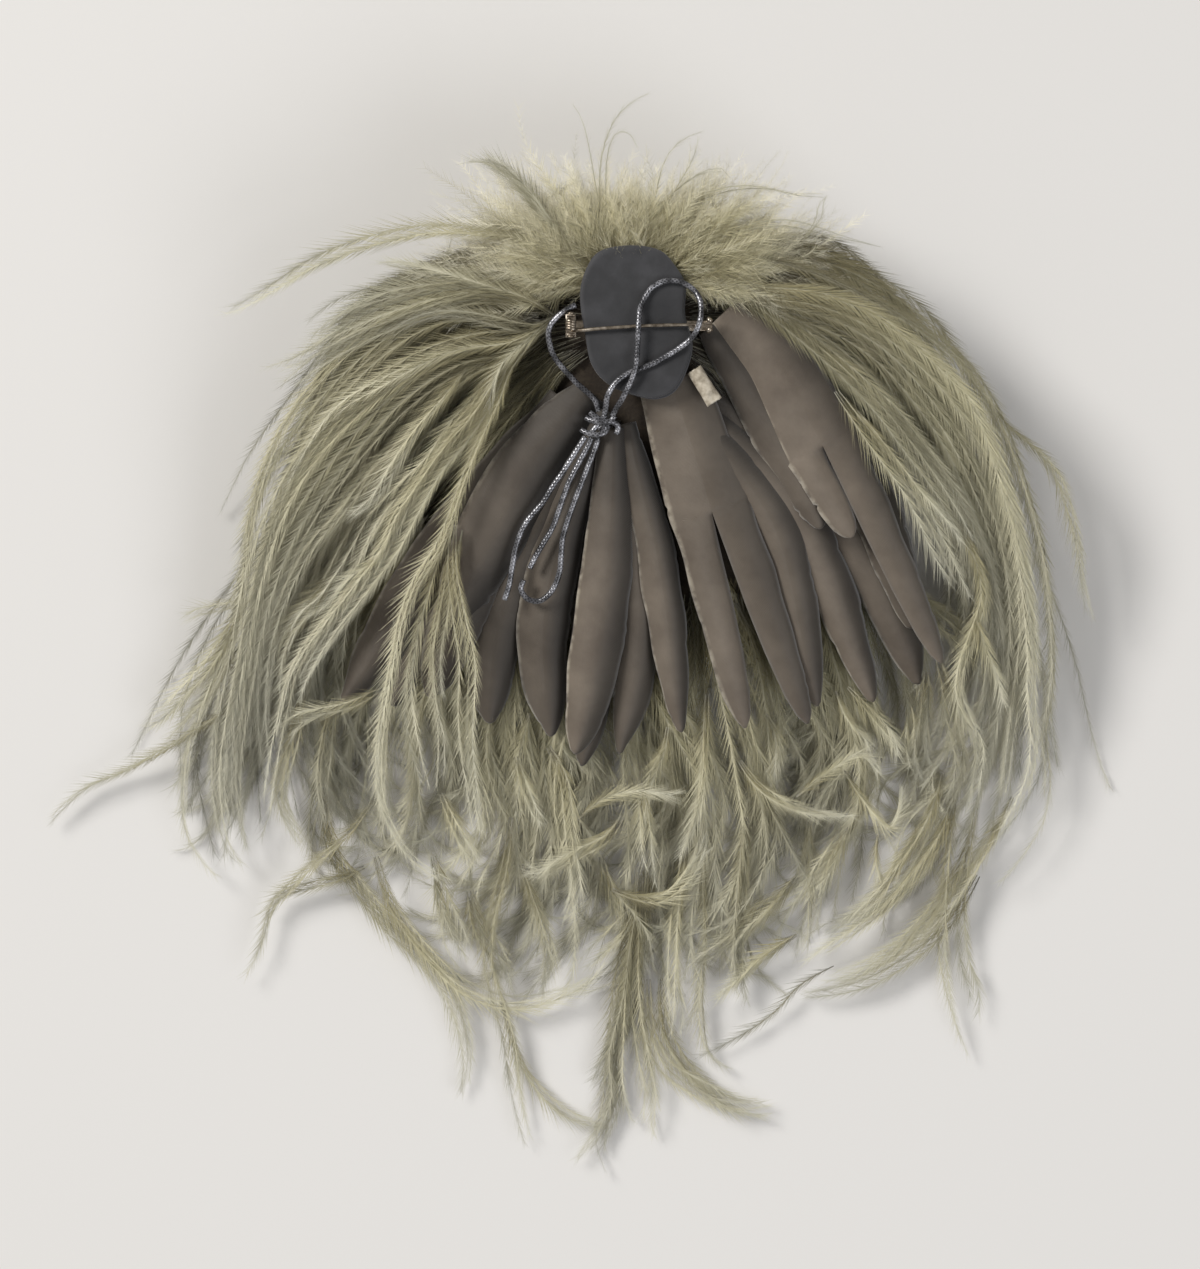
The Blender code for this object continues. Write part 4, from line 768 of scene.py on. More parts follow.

# Single fronds that the photograph shows: flues, half spread in mm, tone (copied from each frond's
# brightness, so partly painted highlight and shade), lift in mm, pixels
leftFrondPixels = [
    (3, 1.2, 0.75, 1.0, [(530, 325), (490, 300), (440, 297), (390, 320), (345, 355), (300, 402),
                         (268, 455), (250, 510), (241, 570), (230, 630), (203, 690), (180, 745),
                         (174, 795), (178, 835), (195, 866), (216, 886)]),
    (3, 2.0, 0.60, 0.5, [(532, 328), (480, 316), (430, 323), (380, 352), (330, 398), (288, 450),
                         (262, 510), (250, 565), (236, 625), (220, 690), (211, 750), (210, 800),
                         (220, 850), (245, 882), (268, 898)]),
    (4, 2.5, 0.80, 1.5, [(530, 338), (480, 344), (430, 360), (380, 390), (330, 434), (290, 488),
                         (264, 545), (247, 600), (235, 660), (222, 720), (214, 780), (219, 832)]),
    (4, 2.5, 0.55, 0.5, [(520, 344), (475, 345), (430, 362), (392, 388), (345, 426), (300, 480),
                         (274, 540), (260, 600), (245, 670), (234, 740), (232, 800), (241, 850),
                         (254, 872)]),
    (4, 2.5, 0.50, 0.0, [(520, 350), (460, 366), (410, 396), (365, 440), (325, 488), (296, 530),
                         (275, 580), (260, 640), (250, 710), (240, 770), (246, 820)]),
    (2, 1.0, 0.95, 2.5, [(512, 343), (462, 350), (420, 366), (380, 386), (342, 408), (312, 440),
                         (285, 480), (262, 530)]),
    (4, 2.2, 0.45, 0.0, [(515, 352), (470, 376), (435, 406), (403, 442), (372, 474), (342, 510),
                         (308, 548), (280, 600), (262, 655), (258, 720), (262, 780), (255, 830)]),
    (3, 1.6, 0.95, 2.5, [(508, 356), (490, 390), (470, 420), (446, 446), (420, 480), (397, 512),
                         (378, 550), (345, 592), (312, 634), (290, 668), (280, 705), (270, 752),
                         (262, 800), (258, 842)]),
    (4, 2.4, 0.85, 2.0, [(512, 360), (492, 402), (468, 438), (440, 470), (418, 508), (400, 545),
                         (372, 585), (340, 625), (315, 660), (298, 690), (285, 735)]),
    (3, 1.5, 0.90, 2.5, [(515, 365), (500, 402), (482, 440), (466, 480), (452, 520), (440, 548),
                         (420, 578), (406, 610), (396, 650), (386, 700), (378, 745), (378, 792),
                         (390, 830), (412, 862), (450, 886), (486, 905)]),
    (3, 1.5, 0.75, 1.5, [(500, 365), (478, 400), (452, 430), (432, 462), (405, 490), (378, 520),
                         (355, 560), (325, 600), (300, 618), (284, 650), (275, 690)]),
    (2, 0.8, 0.80, 2.0, [(470, 366), (450, 395), (420, 430), (396, 465), (375, 500), (350, 520)]),
    (3, 2.4, 0.90, 2.0, [(455, 525), (454, 570), (462, 618), (470, 662), (468, 705), (467, 745),
                         (472, 790), (478, 828), (486, 850)]),
    (2, 1.4, 0.85, 1.5, [(452, 520), (428, 588), (414, 640), (407, 690), (412, 735), (423, 780),
                         (430, 800)]),
    (2, 1.2, 0.70, 1.0, [(450, 540), (440, 600), (430, 650), (432, 700), (441, 745), (440, 795)]),
    (2, 1.0, 0.90, 1.5, [(462, 530), (448, 600), (440, 650), (446, 700)]),
    (1, 0.5, 0.95, 3.0, [(384, 556), (352, 574), (330, 592)]),
    (3, 1.5, 0.50, 0.5, [(340, 570), (312, 600), (292, 626), (276, 656), (268, 700)]),
    (3, 2.0, 0.45, 1.0, [(540, 330), (520, 330), (490, 322), (455, 318), (420, 325), (385, 345)]),
    (2, 1.0, 0.90, 3.0, [(510, 360), (498, 380), (492, 402), (486, 420)]),
    (3, 1.6, 0.65, 2.5, [(526, 300), (480, 286), (430, 272), (400, 264), (376, 262)]),
    (3, 2.2, 0.60, 1.5, [(500, 296), (440, 300), (380, 318), (335, 340), (300, 360), (264, 372)]),
    (3, 2.2, 0.50, 1.0, [(490, 300), (430, 312), (370, 335), (325, 358), (295, 378), (272, 392)]),
    (3, 2.4, 0.45, 0.5, [(500, 285), (440, 288), (385, 298), (345, 310), (318, 330), (305, 345)]),
    (3, 2.2, 0.75, 1.0, [(530, 245), (480, 235), (440, 232), (400, 237), (350, 250), (310, 266),
                         (275, 287), (240, 306), (222, 312)]),
    (2, 1.4, 0.70, 0.5, [(250, 600), (220, 605), (195, 610), (174, 618)]),
    (2, 1.0, 0.55, 0.0, [(236, 700), (205, 724), (165, 748), (120, 772), (80, 790), (54, 812),
                         (36, 832)]),
    (3, 1.6, 0.70, 0.5, [(245, 600), (224, 635), (200, 670), (172, 700), (150, 722), (128, 731)]),
    (2, 1.2, 0.65, 0.3, [(238, 640), (207, 690), (176, 725), (146, 750)]),
    (2, 1.2, 0.60, 0.3, [(372, 800), (345, 836), (310, 866), (282, 892), (264, 914), (256, 945),
                         (246, 970), (230, 996)]),
    (2, 1.2, 0.50, 0.2, [(360, 872), (325, 886), (295, 894), (270, 906), (263, 940)]),
    (2, 1.5, 0.60, 0.8, [(380, 690), (348, 706), (315, 714), (290, 724), (278, 746)]),
    (3, 1.6, 0.60, 2.0, [(560, 240), (546, 222), (530, 198), (510, 176), (488, 163), (464, 163)]),
    (3, 1.4, 0.45, 1.0, [(550, 225), (532, 200), (512, 180), (496, 168), (478, 160)]),
    (3, 2.0, 0.50, 0.0, [(330, 700), (322, 745), (318, 790), (325, 830)]),
    (3, 2.0, 0.55, 0.0, [(300, 690), (290, 740), (276, 790), (288, 830), (306, 858)]),
]
rightFrondPixels = [
    (3, 1.2, 0.45, 1.0, [(738, 262), (790, 267), (850, 291), (905, 321), (955, 357), (985, 394),
                         (1008, 440), (1026, 490), (1041, 540), (1050, 590), (1056, 650),
                         (1054, 700), (1048, 735), (1052, 780), (1045, 820), (1022, 856), (998, 882)]),
    (3, 1.6, 0.90, 2.5, [(750, 288), (810, 294), (862, 309), (902, 336), (940, 366), (970, 400),
                         (990, 436), (1005, 480), (1018, 522), (1026, 565), (1032, 610), (1036, 660),
                         (1036, 700), (1040, 742), (1034, 785), (1010, 832), (984, 862)]),
    (4, 2.2, 0.70, 1.5, [(758, 298), (820, 309), (872, 331), (912, 361), (950, 400), (978, 446),
                         (996, 492), (1010, 540), (1018, 590), (1021, 640), (1016, 690), (1010, 740),
                         (1004, 790), (985, 840), (958, 882)]),
    (4, 2.2, 0.55, 1.0, [(760, 303), (830, 324), (882, 354), (922, 395), (955, 440), (980, 490),
                         (999, 540), (1008, 600), (1008, 660), (1000, 715), (990, 770), (975, 820),
                         (950, 870)]),
    (5, 2.8, 0.30, 0.0, [(760, 308), (812, 338), (862, 380), (902, 430), (940, 480), (970, 532),
                         (990, 585), (1000, 645), (996, 710), (980, 770)]),
    (4, 2.4, 0.50, 0.5, [(768, 312), (830, 362), (876, 405), (912, 450), (944, 492), (968, 535),
                         (985, 575), (992, 630), (985, 690), (975, 745)]),
    (3, 1.6, 0.80, 1.5, [(800, 330), (850, 372), (890, 410), (925, 452), (955, 495), (980, 540),
                         (992, 590)]),
    (3, 1.6, 0.75, 1.5, [(835, 392), (868, 440), (900, 480), (922, 512), (938, 545), (952, 575),
                         (968, 605)]),
    (2, 1.0, 0.95, 2.5, [(856, 412), (888, 452), (920, 492), (948, 522), (965, 545)]),
    (3, 1.8, 0.90, 2.0, [(955, 515), (976, 558), (984, 596), (974, 632), (964, 662), (960, 692),
                         (970, 722), (981, 750), (976, 790), (972, 818)]),
    (2, 0.8, 0.95, 2.5, [(976, 612), (988, 645), (1000, 674), (1010, 714)]),
    (3, 2.0, 0.45, 0.5, [(940, 655), (950, 690), (957, 725), (965, 770), (950, 815), (930, 850)]),
    (3, 2.0, 0.35, 0.0, [(930, 672), (927, 710), (925, 750), (935, 790)]),
    (2, 1.0, 0.60, 1.5, [(760, 290), (840, 302), (890, 330), (930, 352)]),
    (2, 0.8, 0.60, 1.0, [(978, 388), (1012, 428), (1042, 453), (1060, 478), (1071, 507), (1083, 547),
                         (1090, 590), (1097, 627)]),
    (2, 1.2, 0.55, 0.0, [(962, 790), (955, 840), (950, 890), (949, 945), (953, 985), (962, 1030),
                         (976, 1070)]),
    (2, 1.6, 0.50, 0.0, [(985, 800), (972, 860), (966, 915), (969, 965), (978, 1000), (977, 1022)]),
    (3, 1.6, 0.80, 0.8, [(958, 800), (945, 840), (915, 882), (880, 918), (840, 948), (805, 972)]),
    (3, 1.6, 0.70, 0.6, [(975, 850), (945, 905), (905, 948), (862, 976), (812, 992)]),
    (3, 1.6, 0.60, 0.3, [(985, 880), (950, 932), (908, 965), (868, 987), (825, 997), (800, 998)]),
    (3, 1.4, 0.85, 0.8, [(948, 775), (936, 820), (914, 862), (888, 896), (858, 922), (826, 944)]),
    (2, 1.0, 0.90, 1.0, [(930, 820), (905, 862), (885, 893), (862, 915), (845, 930)]),
    (3, 1.8, 0.65, 0.5, [(1020, 800), (995, 850), (965, 895), (935, 935), (905, 960)]),
]
fringeFrondPixels = [
    (4, 2.2, 0.60, 0.5, [(318, 790), (322, 825), (330, 860), (352, 890), (385, 932), (420, 964),
                         (448, 1000), (461, 1036),
                         (465, 1072), (458, 1108)]),
    (3, 2.0, 0.75, 1.0, [(372, 860), (382, 895), (398, 925), (425, 960), (455, 990), (490, 1007),
                         (520, 1010), (555, 1000),
                         (585, 985), (605, 960)]),
    (3, 1.6, 0.60, 0.5, [(510, 820), (503, 870), (490, 920), (486, 965), (495, 1005), (506, 1045),
                         (512, 1090),
                         (520, 1130), (528, 1158)]),
    (2, 1.0, 0.70, 0.3, [(500, 1010), (520, 1072), (550, 1110), (585, 1130), (618, 1140)]),
    (3, 1.6, 0.70, 1.0, [(520, 868), (530, 900), (540, 930), (548, 960), (545, 985), (540, 1006)]),
    (2, 1.2, 0.90, 2.0, [(515, 758), (525, 790), (537, 816), (545, 824)]),
    (2, 1.2, 0.90, 2.0, [(530, 715), (521, 740), (517, 772), (522, 805)]),
    (3, 1.4, 0.95, 2.5, [(548, 748), (563, 780), (568, 820), (572, 860), (575, 890), (566, 918),
                         (560, 942)]),
    (3, 1.6, 0.80, 3.0, [(622, 818), (608, 838), (585, 850), (560, 862), (538, 876), (518, 872)]),
    (2, 1.2, 0.90, 3.0, [(578, 822), (595, 806), (618, 796), (645, 792), (672, 796), (684, 788)]),
    (3, 1.6, 0.90, 2.5, [(641, 785), (646, 820), (650, 860), (657, 896)]),
    (3, 1.4, 1.00, 3.0, [(612, 893), (635, 901), (662, 902), (685, 885), (703, 858), (710, 830)]),
    (3, 1.6, 1.00, 3.0, [(708, 695), (706, 735), (703, 775), (697, 810), (688, 840), (676, 864)]),
    (2, 1.2, 0.95, 2.5, [(668, 728), (662, 755), (650, 783), (641, 812), (642, 850)]),
    (3, 2.0, 0.80, 1.0, [(633, 915), (620, 936), (598, 958), (580, 975)]),
    (4, 2.2, 0.35, 0.3, [(652, 860), (648, 910), (640, 960), (632, 1000), (622, 1040), (605, 1075),
                         (586, 1102)]),
    (4, 2.0, 0.50, 0.5, [(640, 870), (638, 915), (632, 960), (626, 1010), (614, 1060), (616, 1105),
                         (602, 1140), (588, 1160),
                         (572, 1180)]),
    (3, 1.6, 0.40, 0.3, [(634, 900), (626, 950), (618, 1000), (612, 1060), (608, 1110), (600, 1150),
                         (610, 1187)]),
    (3, 1.6, 0.70, 0.5, [(640, 900), (636, 950), (636, 1000), (643, 1050), (652, 1098), (650, 1130),
                         (657, 1160)]),
    (2, 1.2, 0.70, 0.3, [(630, 960), (624, 1005), (622, 1050), (622, 1090), (630, 1120), (645, 1146)]),
    (3, 1.4, 0.85, 1.0, [(688, 850), (682, 898), (676, 945), (675, 990), (680, 1025), (676, 1058)]),
    (2, 1.0, 0.60, 0.3, [(706, 840), (705, 900), (706, 950), (702, 1000), (704, 1040), (712, 1065),
                         (732, 1082)]),
    (3, 2.2, 0.75, 0.3, [(648, 985), (650, 1035), (665, 1072), (690, 1092), (716, 1106), (746, 1112),
                         (782, 1108)]),
    (3, 2.0, 0.70, 0.1, [(662, 985), (666, 1035), (690, 1078), (722, 1108), (752, 1120), (776, 1121)]),
    (1, 0.3, 0.25, 0.8, [(838, 972), (805, 992), (780, 1018), (748, 1042), (710, 1066), (668, 1082)]),
    (3, 1.8, 0.50, 0.3, [(748, 820), (742, 890), (738, 940), (740, 980), (743, 1012)]),
    (2, 1.4, 0.95, 3.0, [(798, 798), (815, 783), (838, 768), (858, 753), (873, 758), (884, 776),
                         (889, 796)]),
    (2, 1.2, 0.85, 2.5, [(847, 772), (862, 796), (881, 821), (892, 831), (904, 815), (906, 788),
                         (900, 765)]),
    (3, 1.6, 0.95, 3.0, [(742, 762), (760, 785), (785, 802), (815, 812), (840, 816), (864, 818)]),
    (2, 1.4, 0.85, 2.0, [(850, 688), (874, 714), (894, 740), (902, 765)]),
    (2, 1.2, 0.85, 2.0, [(838, 692), (850, 720), (868, 738), (873, 752)]),
    (2, 1.2, 0.80, 2.0, [(913, 705), (915, 725), (912, 748), (919, 778)]),
    (2, 1.0, 0.35, 2.0, [(762, 790), (785, 835), (800, 865), (812, 890)]),
    (2, 1.2, 0.60, 1.5, [(812, 818), (808, 850), (812, 892), (810, 940), (798, 962)]),
    (3, 2.0, 0.80, 1.0, [(848, 828), (830, 860), (815, 882), (802, 902)]),
    (2, 1.2, 0.90, 1.5, [(882, 838), (883, 868), (889, 895)]),
    (3, 2.0, 0.50, 0.5, [(770, 900), (740, 935), (705, 960), (690, 965)]),
    (3, 1.8, 0.70, 0.8, [(800, 880), (770, 915), (740, 945), (735, 985)]),
    (3, 1.6, 0.80, 1.0, [(800, 940), (770, 960), (740, 985), (712, 1010)]),
    (2, 1.6, 0.75, 2.0, [(768, 715), (778, 735), (782, 765), (776, 790)]),
    (3, 1.8, 0.85, 2.0, [(440, 795), (455, 825), (467, 850), (478, 872)]),
    (3, 2.0, 0.55, 0.5, [(430, 860), (440, 900), (455, 940), (470, 975)]),
    (3, 2.0, 0.60, 0.5, [(600, 860), (612, 900), (640, 940), (650, 985)]),
    (3, 2.0, 0.60, 0.5, [(468, 895), (478, 935), (500, 970), (510, 1005)]),
]

print("stage: plumes")
plumeFill = {
    "left": {"seed": 11, "clumps": 34, "flues": 5, "wander": 0.10, "ownWander": 0.08, "curl": 0.2,
             "curlSpread": 0.35, "length": (0.72, 1.04), "rootSpread": 2.4 * mm, "sink": 2.5 * mm,
             "depth": 8.0 * mm, "tone": 0.45, "over": True, "inner": 0.050},
    "right": {"seed": 23, "clumps": 26, "flues": 5, "wander": 0.10, "ownWander": 0.08, "curl": -0.15,
              "curlSpread": 0.22, "length": (0.76, 1.04), "rootSpread": 2.4 * mm, "sink": 2.5 * mm,
              "depth": 7.0 * mm, "tone": 0.70, "over": True, "inner": 0.064},
    "fringe": {"seed": 37, "clumps": 58, "flues": 5, "wander": 0.30, "ownWander": 0.16, "curl": 0.0,
               "curlSpread": 1.4, "length": (0.60, 1.06), "rootSpread": 3.0 * mm, "sink": 0.0,
               "depth": 8.0 * mm, "tone": 0.80, "over": False, "inner": 0.0},
}
plumes = (
    ("plume_left", "leftFronds", frondFlues(leftFrondPixels, overHeights, True, 5, 1.0, leftFoot)
     + spreadFlues(leftGuides, plumeFill["left"])),
    ("plume_right", "rightFronds", frondFlues(rightFrondPixels, overHeights, True, 6, 1.0, rightFoot)
     + spreadFlues(rightGuides, plumeFill["right"])),
    ("front_plume", "fringeFronds", frondFlues(fringeFrondPixels, underHeights, False, 7)),
    (None, "fringeFill", spreadFlues(fringeGuides, plumeFill["fringe"])),
)
for seed, (node, name, flues) in enumerate(plumes):
    piece = growFlues(name, flues, flueSettings, ostrichFibre, seed)
    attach(piece, "hairpiece")
    if node:
        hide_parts(node)


# Soft body under the fronds

print("stage: body and crown")
bodySettings = {"seatRadius": 0.0165, "radius": 0.052, "shift": 0.027, "rough": 1.6 * mm}
bodyRings = [(0.01, 0.70, 1.00), (0.08, 0.95, 1.00), (0.28, 1.00, 1.00), (0.52, 0.84, 0.78),
             (0.74, 0.54, 0.42), (0.88, 0.20, 0.15), (0.97, 0.00, 0.00)]


def buildBody(b):
    sides, rows = 72, 36
    table = smoothPath(bodyRings, rows)
    vertices = []
    for height, swell, shift in table:
        radius = b["seatRadius"] + (b["radius"] - b["seatRadius"]) * max(swell, 0.0)
        for corner in range(sides):
            turn = 2.0 * math.pi * corner / sides
            spot = Vector((radius * math.cos(turn), radius * math.sin(turn) - b["shift"] * shift,
                           headTop * height))
            spot *= 1.0 + b["rough"] / 0.06 * noise.noise(spot * 260.0)
            spot.z = max(spot.z, tableGap)
            vertices.append(spot)
    faces = ringFaces(rows, sides)
    faces.append(tuple(reversed(range(sides))))
    faces.append(tuple(range((rows - 1) * sides, rows * sides)))
    return meshPiece("packedBody", vertices, faces, paintedShadeDown)


body = buildBody(bodySettings)
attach(body, "hairpiece")


skirtSettings = {
    "count": 420, "seed": 51,
    "angles": (-35.0, 215.0),       # degrees round the body
    "top": 0.96,                    # as a share of the head's height
    "drop": (0.70, 0.93),
    "flare": (1.0, 3.0),            # mm off the body
    "sideFlare": (0.0, 12.0),       # mm more at the tips, at the sides
    "rootShare": (0.6, 0.95),
    "tone": (0.55, 0.18), "barbSize": (0.9, 1.3), "twist": (1.2, 0.5),
}


# Short fronds that hang over the body's shoulder down to the table, all round
def skirtFlues(k, b):
    rng = np.random.default_rng(k["seed"])
    flues = []
    samples = 16
    t = np.linspace(0.0, 1.0, samples)
    heights, swells, shifts = zip(*bodyRings)
    for _ in range(k["count"]):
        angle = math.radians(rng.uniform(*k["angles"]))
        turn = angle + rng.normal(0.0, 0.22) * t + rng.normal(0.0, 0.4) * smoothStep(0.6, 1.0, t)
        height = k["top"] - rng.uniform(*k["drop"]) * smoothStep(0.0, 1.0, t)
        over = np.interp(height, heights, swells)
        shift = np.interp(height, heights, shifts)
        flare = rng.uniform(*k["flare"]) * mm
        flare = flare + rng.uniform(*k["sideFlare"]) * mm * t ** 3 * abs(math.cos(angle))
        radius = b["seatRadius"] + (b["radius"] - b["seatRadius"]) * over + flare
        radius[0] = rng.uniform(*k["rootShare"]) * radius[0]
        route = np.column_stack([radius * np.cos(turn), radius * np.sin(turn) - b["shift"] * shift,
                                 headTop * height + 1.5 * mm * (1.0 - t)])
        keepClear(route, False)
        flues.append({
            "route": route,
            "tone": float(np.clip(rng.normal(*k["tone"]), 0, 1)),
            "barbSize": rng.uniform(*k["barbSize"]) * (0.3 + 0.7 * smoothStep(0.0, 0.2, t)),
            "twist": rng.normal(*k["twist"]),
        })
    return flues


crownWispPixels = [
    (1, 0.3, 0.50, 1.0, [(604, 225), (596, 190), (589, 152), (581, 122), (569, 104)]),
    (1, 0.2, 0.60, 1.0, [(600, 215), (601, 165), (612, 126), (630, 107), (656, 95)]),
    (1, 0.3, 0.50, 1.0, [(606, 215), (606, 170), (612, 142), (622, 133), (633, 137), (638, 152),
                         (638, 180)]),
    (1, 0.3, 0.50, 1.0, [(655, 200), (662, 170), (678, 148), (700, 133), (722, 126)]),
    (1, 0.3, 0.50, 1.0, [(668, 205), (684, 178), (696, 152), (702, 138)]),
    (2, 0.5, 0.50, 1.0, [(665, 205), (682, 188), (702, 177), (722, 176), (732, 190)]),
    (2, 1.0, 0.60, 1.0, [(690, 205), (725, 192), (765, 188), (800, 196), (830, 200)]),
    (2, 1.0, 0.60, 1.0, [(800, 245), (815, 225), (820, 208), (830, 198)]),
    (2, 1.2, 0.50, 1.0, [(720, 235), (780, 225), (840, 240), (885, 252)]),
]

skirt = growFlues("skirtFronds", skirtFlues(skirtSettings, bodySettings)
                  + frondFlues(crownWispPixels, overHeights, True, 72, 0.4),
                  flueSettings, ostrichFibre, skirtSettings["seed"])
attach(skirt, "hairpiece")

crownSettings = dict(flueSettings, barbSpacing=0.50 * mm, barbWidth=0.24 * mm, barbLength=5.0 * mm,
                     barbSlant=34.0, shaftWidth=0.10 * mm, turnJitter=1.3)
crownShape = {
    "count": 1250, "seed": 71,
    "angles": (-14.0, 194.0),       # degrees round the crown
    "footWidth": 0.018, "footPlace": 0.0100, "footDepth": 0.0070,
    "footHeight": 0.0372,
    "reach": 0.0185, "sideReach": 0.0140,
    "longShare": 0.08,              # flues that are this much longer
    "longer": 1.3,
    "rise": 4.5, "droop": 7.0,      # mm
    "tone": (0.82, 0.2), "barbSize": (0.6, 1.1), "twist": (-1.5, 1.5),
}


# Downy marabou: short soft flues that fan up round the crown
def crownFlues(k):
    rng = np.random.default_rng(k["seed"])
    flues = []
    samples = 12
    t = np.linspace(0.0, 1.0, samples)
    for _ in range(k["count"]):
        angle = math.radians(rng.uniform(*k["angles"]))
        foot = np.array([k["footWidth"] * math.cos(angle) * rng.random() ** 0.4,
                         k["footPlace"] + k["footDepth"] * math.sin(angle) * rng.random()])
        reach = (k["reach"] + k["sideReach"] * abs(math.cos(angle)) ** 1.2) * rng.uniform(0.45, 1.15)
        reach *= 0.55 + 0.45 * float(smoothStep(-0.24, 0.10, math.sin(angle)))
        if rng.random() < k["longShare"]:
            reach *= k["longer"]
        clump = 0.5 * math.sin(angle * 9.0) + 0.4 * math.sin(angle * 23.0)
        turn = angle + (0.5 * clump + rng.normal(0.0, 0.35)) * t + rng.normal(0.0, 0.25) * np.sin(6.28 * t)
        step = reach / (samples - 1)
        x = foot[0] + np.concatenate([[0.0], np.cumsum(np.cos(turn[1:]) * step)])
        y = foot[1] + np.concatenate([[0.0], np.cumsum(np.sin(turn[1:]) * step)])
        rise = k["rise"] * mm * rng.uniform(-0.2, 1.0)
        z = k["footHeight"] + rise * np.sin(math.pi * 0.7 * t)
        z = z - k["droop"] * mm * t ** 2 * rng.uniform(0.2, 1.2)
        flues.append({
            "route": np.column_stack([x, y, z]),
            "tone": float(np.clip(rng.normal(*k["tone"]), 0, 1)),
            "barbSize": (rng.uniform(*k["barbSize"]) * (0.5 + 0.5 * smoothStep(0.0, 0.2, t))
                         * (1.0 - 0.5 * t ** 2)),
            "twist": rng.uniform(*k["twist"]),
        })
    return flues


crown = growFlues("crownDown", crownFlues(crownShape), crownSettings, marabouFibre, crownShape["seed"])
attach(crown, "hairpiece")
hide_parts("crown_tuft")


# Leaves

print("stage: leaves")
leafRows = [
    ("leaf_01", 1, (-0.17, -0.17), (-0.43, -0.50), (-0.68, -0.87), 0.03, 0.13),
    ("leaf_02", 0, (-0.14, -0.20), (-0.38, -0.52), (-0.56, -0.88), 0.03, 0.12),
    ("leaf_03", 2, (-0.14, -0.18), (-0.36, -0.55), (-0.47, -0.86), 0.03, 0.13),
    ("leaf_04", 3, (-0.10, -0.16), (-0.27, -0.37), (-0.43, -0.70), 0.05, 0.17),
    ("leaf_05", 1, (-0.09, -0.19), (-0.29, -0.59), (-0.34, -0.92), 0.03, 0.14),
    ("leaf_06", 2, (-0.07, -0.20), (-0.20, -0.61), (-0.20, -0.95), 0.03, 0.12),
    ("leaf_07", 3, (-0.05, -0.24), (-0.07, -0.63), (-0.14, -0.99), 0.03, 0.125),
    ("leaf_08", 0, (-0.06, -0.22), (-0.09, -0.65), (-0.12, -1.02), 0.03, 0.11),
    ("leaf_09", 1, (-0.03, -0.24), (0.01, -0.65), (-0.03, -0.99), 0.03, 0.10),
    ("leaf_10", 2, (-0.02, -0.23), (0.05, -0.54), (0.11, -0.94), 0.03, 0.09),
    ("leaf_12", 2, (0.10, -0.17), (0.32, -0.47), (0.42, -0.88), 0.03, 0.11),
    ("leaf_13", 1, (0.12, -0.17), (0.39, -0.45), (0.55, -0.87), 0.03, 0.11),
    ("leaf_14", 0, (0.15, -0.15), (0.48, -0.42), (0.66, -0.83), 0.03, 0.13),
    ("leaf_15", 2, (0.17, -0.01), (0.30, -0.20), (0.43, -0.47), 0.05, 0.12),
    ("leaf_16", 1, (0.19, -0.05), (0.50, -0.33), (0.65, -0.70), 0.04, 0.12),
]
splitRows = [
    ("leaf_11", 3, (0.08, -0.13), (0.13, -0.28), (0.175, -0.43), (0.255, -0.93), (0.40, -0.92),
     0.15, 0.19),
    ("leaf_17", 3, (0.21, 0.03), (0.33, -0.10), (0.43, -0.28), (0.50, -0.49), (0.71, -0.78),
     0.09, 0.18),
]
leafProfile = [(0.00, 0.45), (0.20, 0.72), (0.42, 0.95), (0.62, 1.00), (0.82, 0.78),
               (0.94, 0.38), (1.00, 0.04)]
fingerProfile = [(0.0, 1.0), (0.2, 0.94), (0.4, 0.90), (0.6, 0.80), (0.8, 0.60), (0.92, 0.36), (1.0, 0.05)]
leafSettings = {
    "camber": 2.5 * mm,           # how far the edges fall below the middle
    "sink": 0.7 * mm,             # how far each lower layer sinks into the down
    "wall": 0.32 * mm,
    "rows": 56,
    "columns": 14,
    "nick": 0.55 * mm,
}
# brightness of each leaf, partly its dye and partly painted shade on leaves that lie deeper, and how far
# painted shade darkens its right side
leafToneAndPaintedShade = {
    "leaf_01": (0.56, 0.6), "leaf_02": (0.52, 0.6), "leaf_03": (0.62, 0.6), "leaf_04": (0.66, 0.85),
    "leaf_05": (0.52, 0.7), "leaf_06": (0.60, 0.75), "leaf_07": (0.93, 0.75), "leaf_08": (0.60, 0.6),
    "leaf_09": (0.62, 0.6), "leaf_10": (0.86, 0.75), "leaf_11": (0.84, 0.45), "leaf_12": (0.78, 0.65),
    "leaf_13": (0.90, 0.7), "leaf_14": (0.70, 0.6), "leaf_15": (0.66, 0.5), "leaf_16": (0.66, 0.6),
    "leaf_17": (0.94, 0.45),
}


# Painted shade on a vane: the leaf's tone, darker towards the root and towards its right side
def leafPaintedShade(name, c, place, row):
    tone, fall = leafToneAndPaintedShade[name]
    rootShare = 1.0 if row else 1.0 - 0.6 * (1.0 - float(smoothStep(2.0, 38.0, place)))
    return tone * rootShare * (1.0 - fall * float(smoothStep(0.35, -0.95, c)))


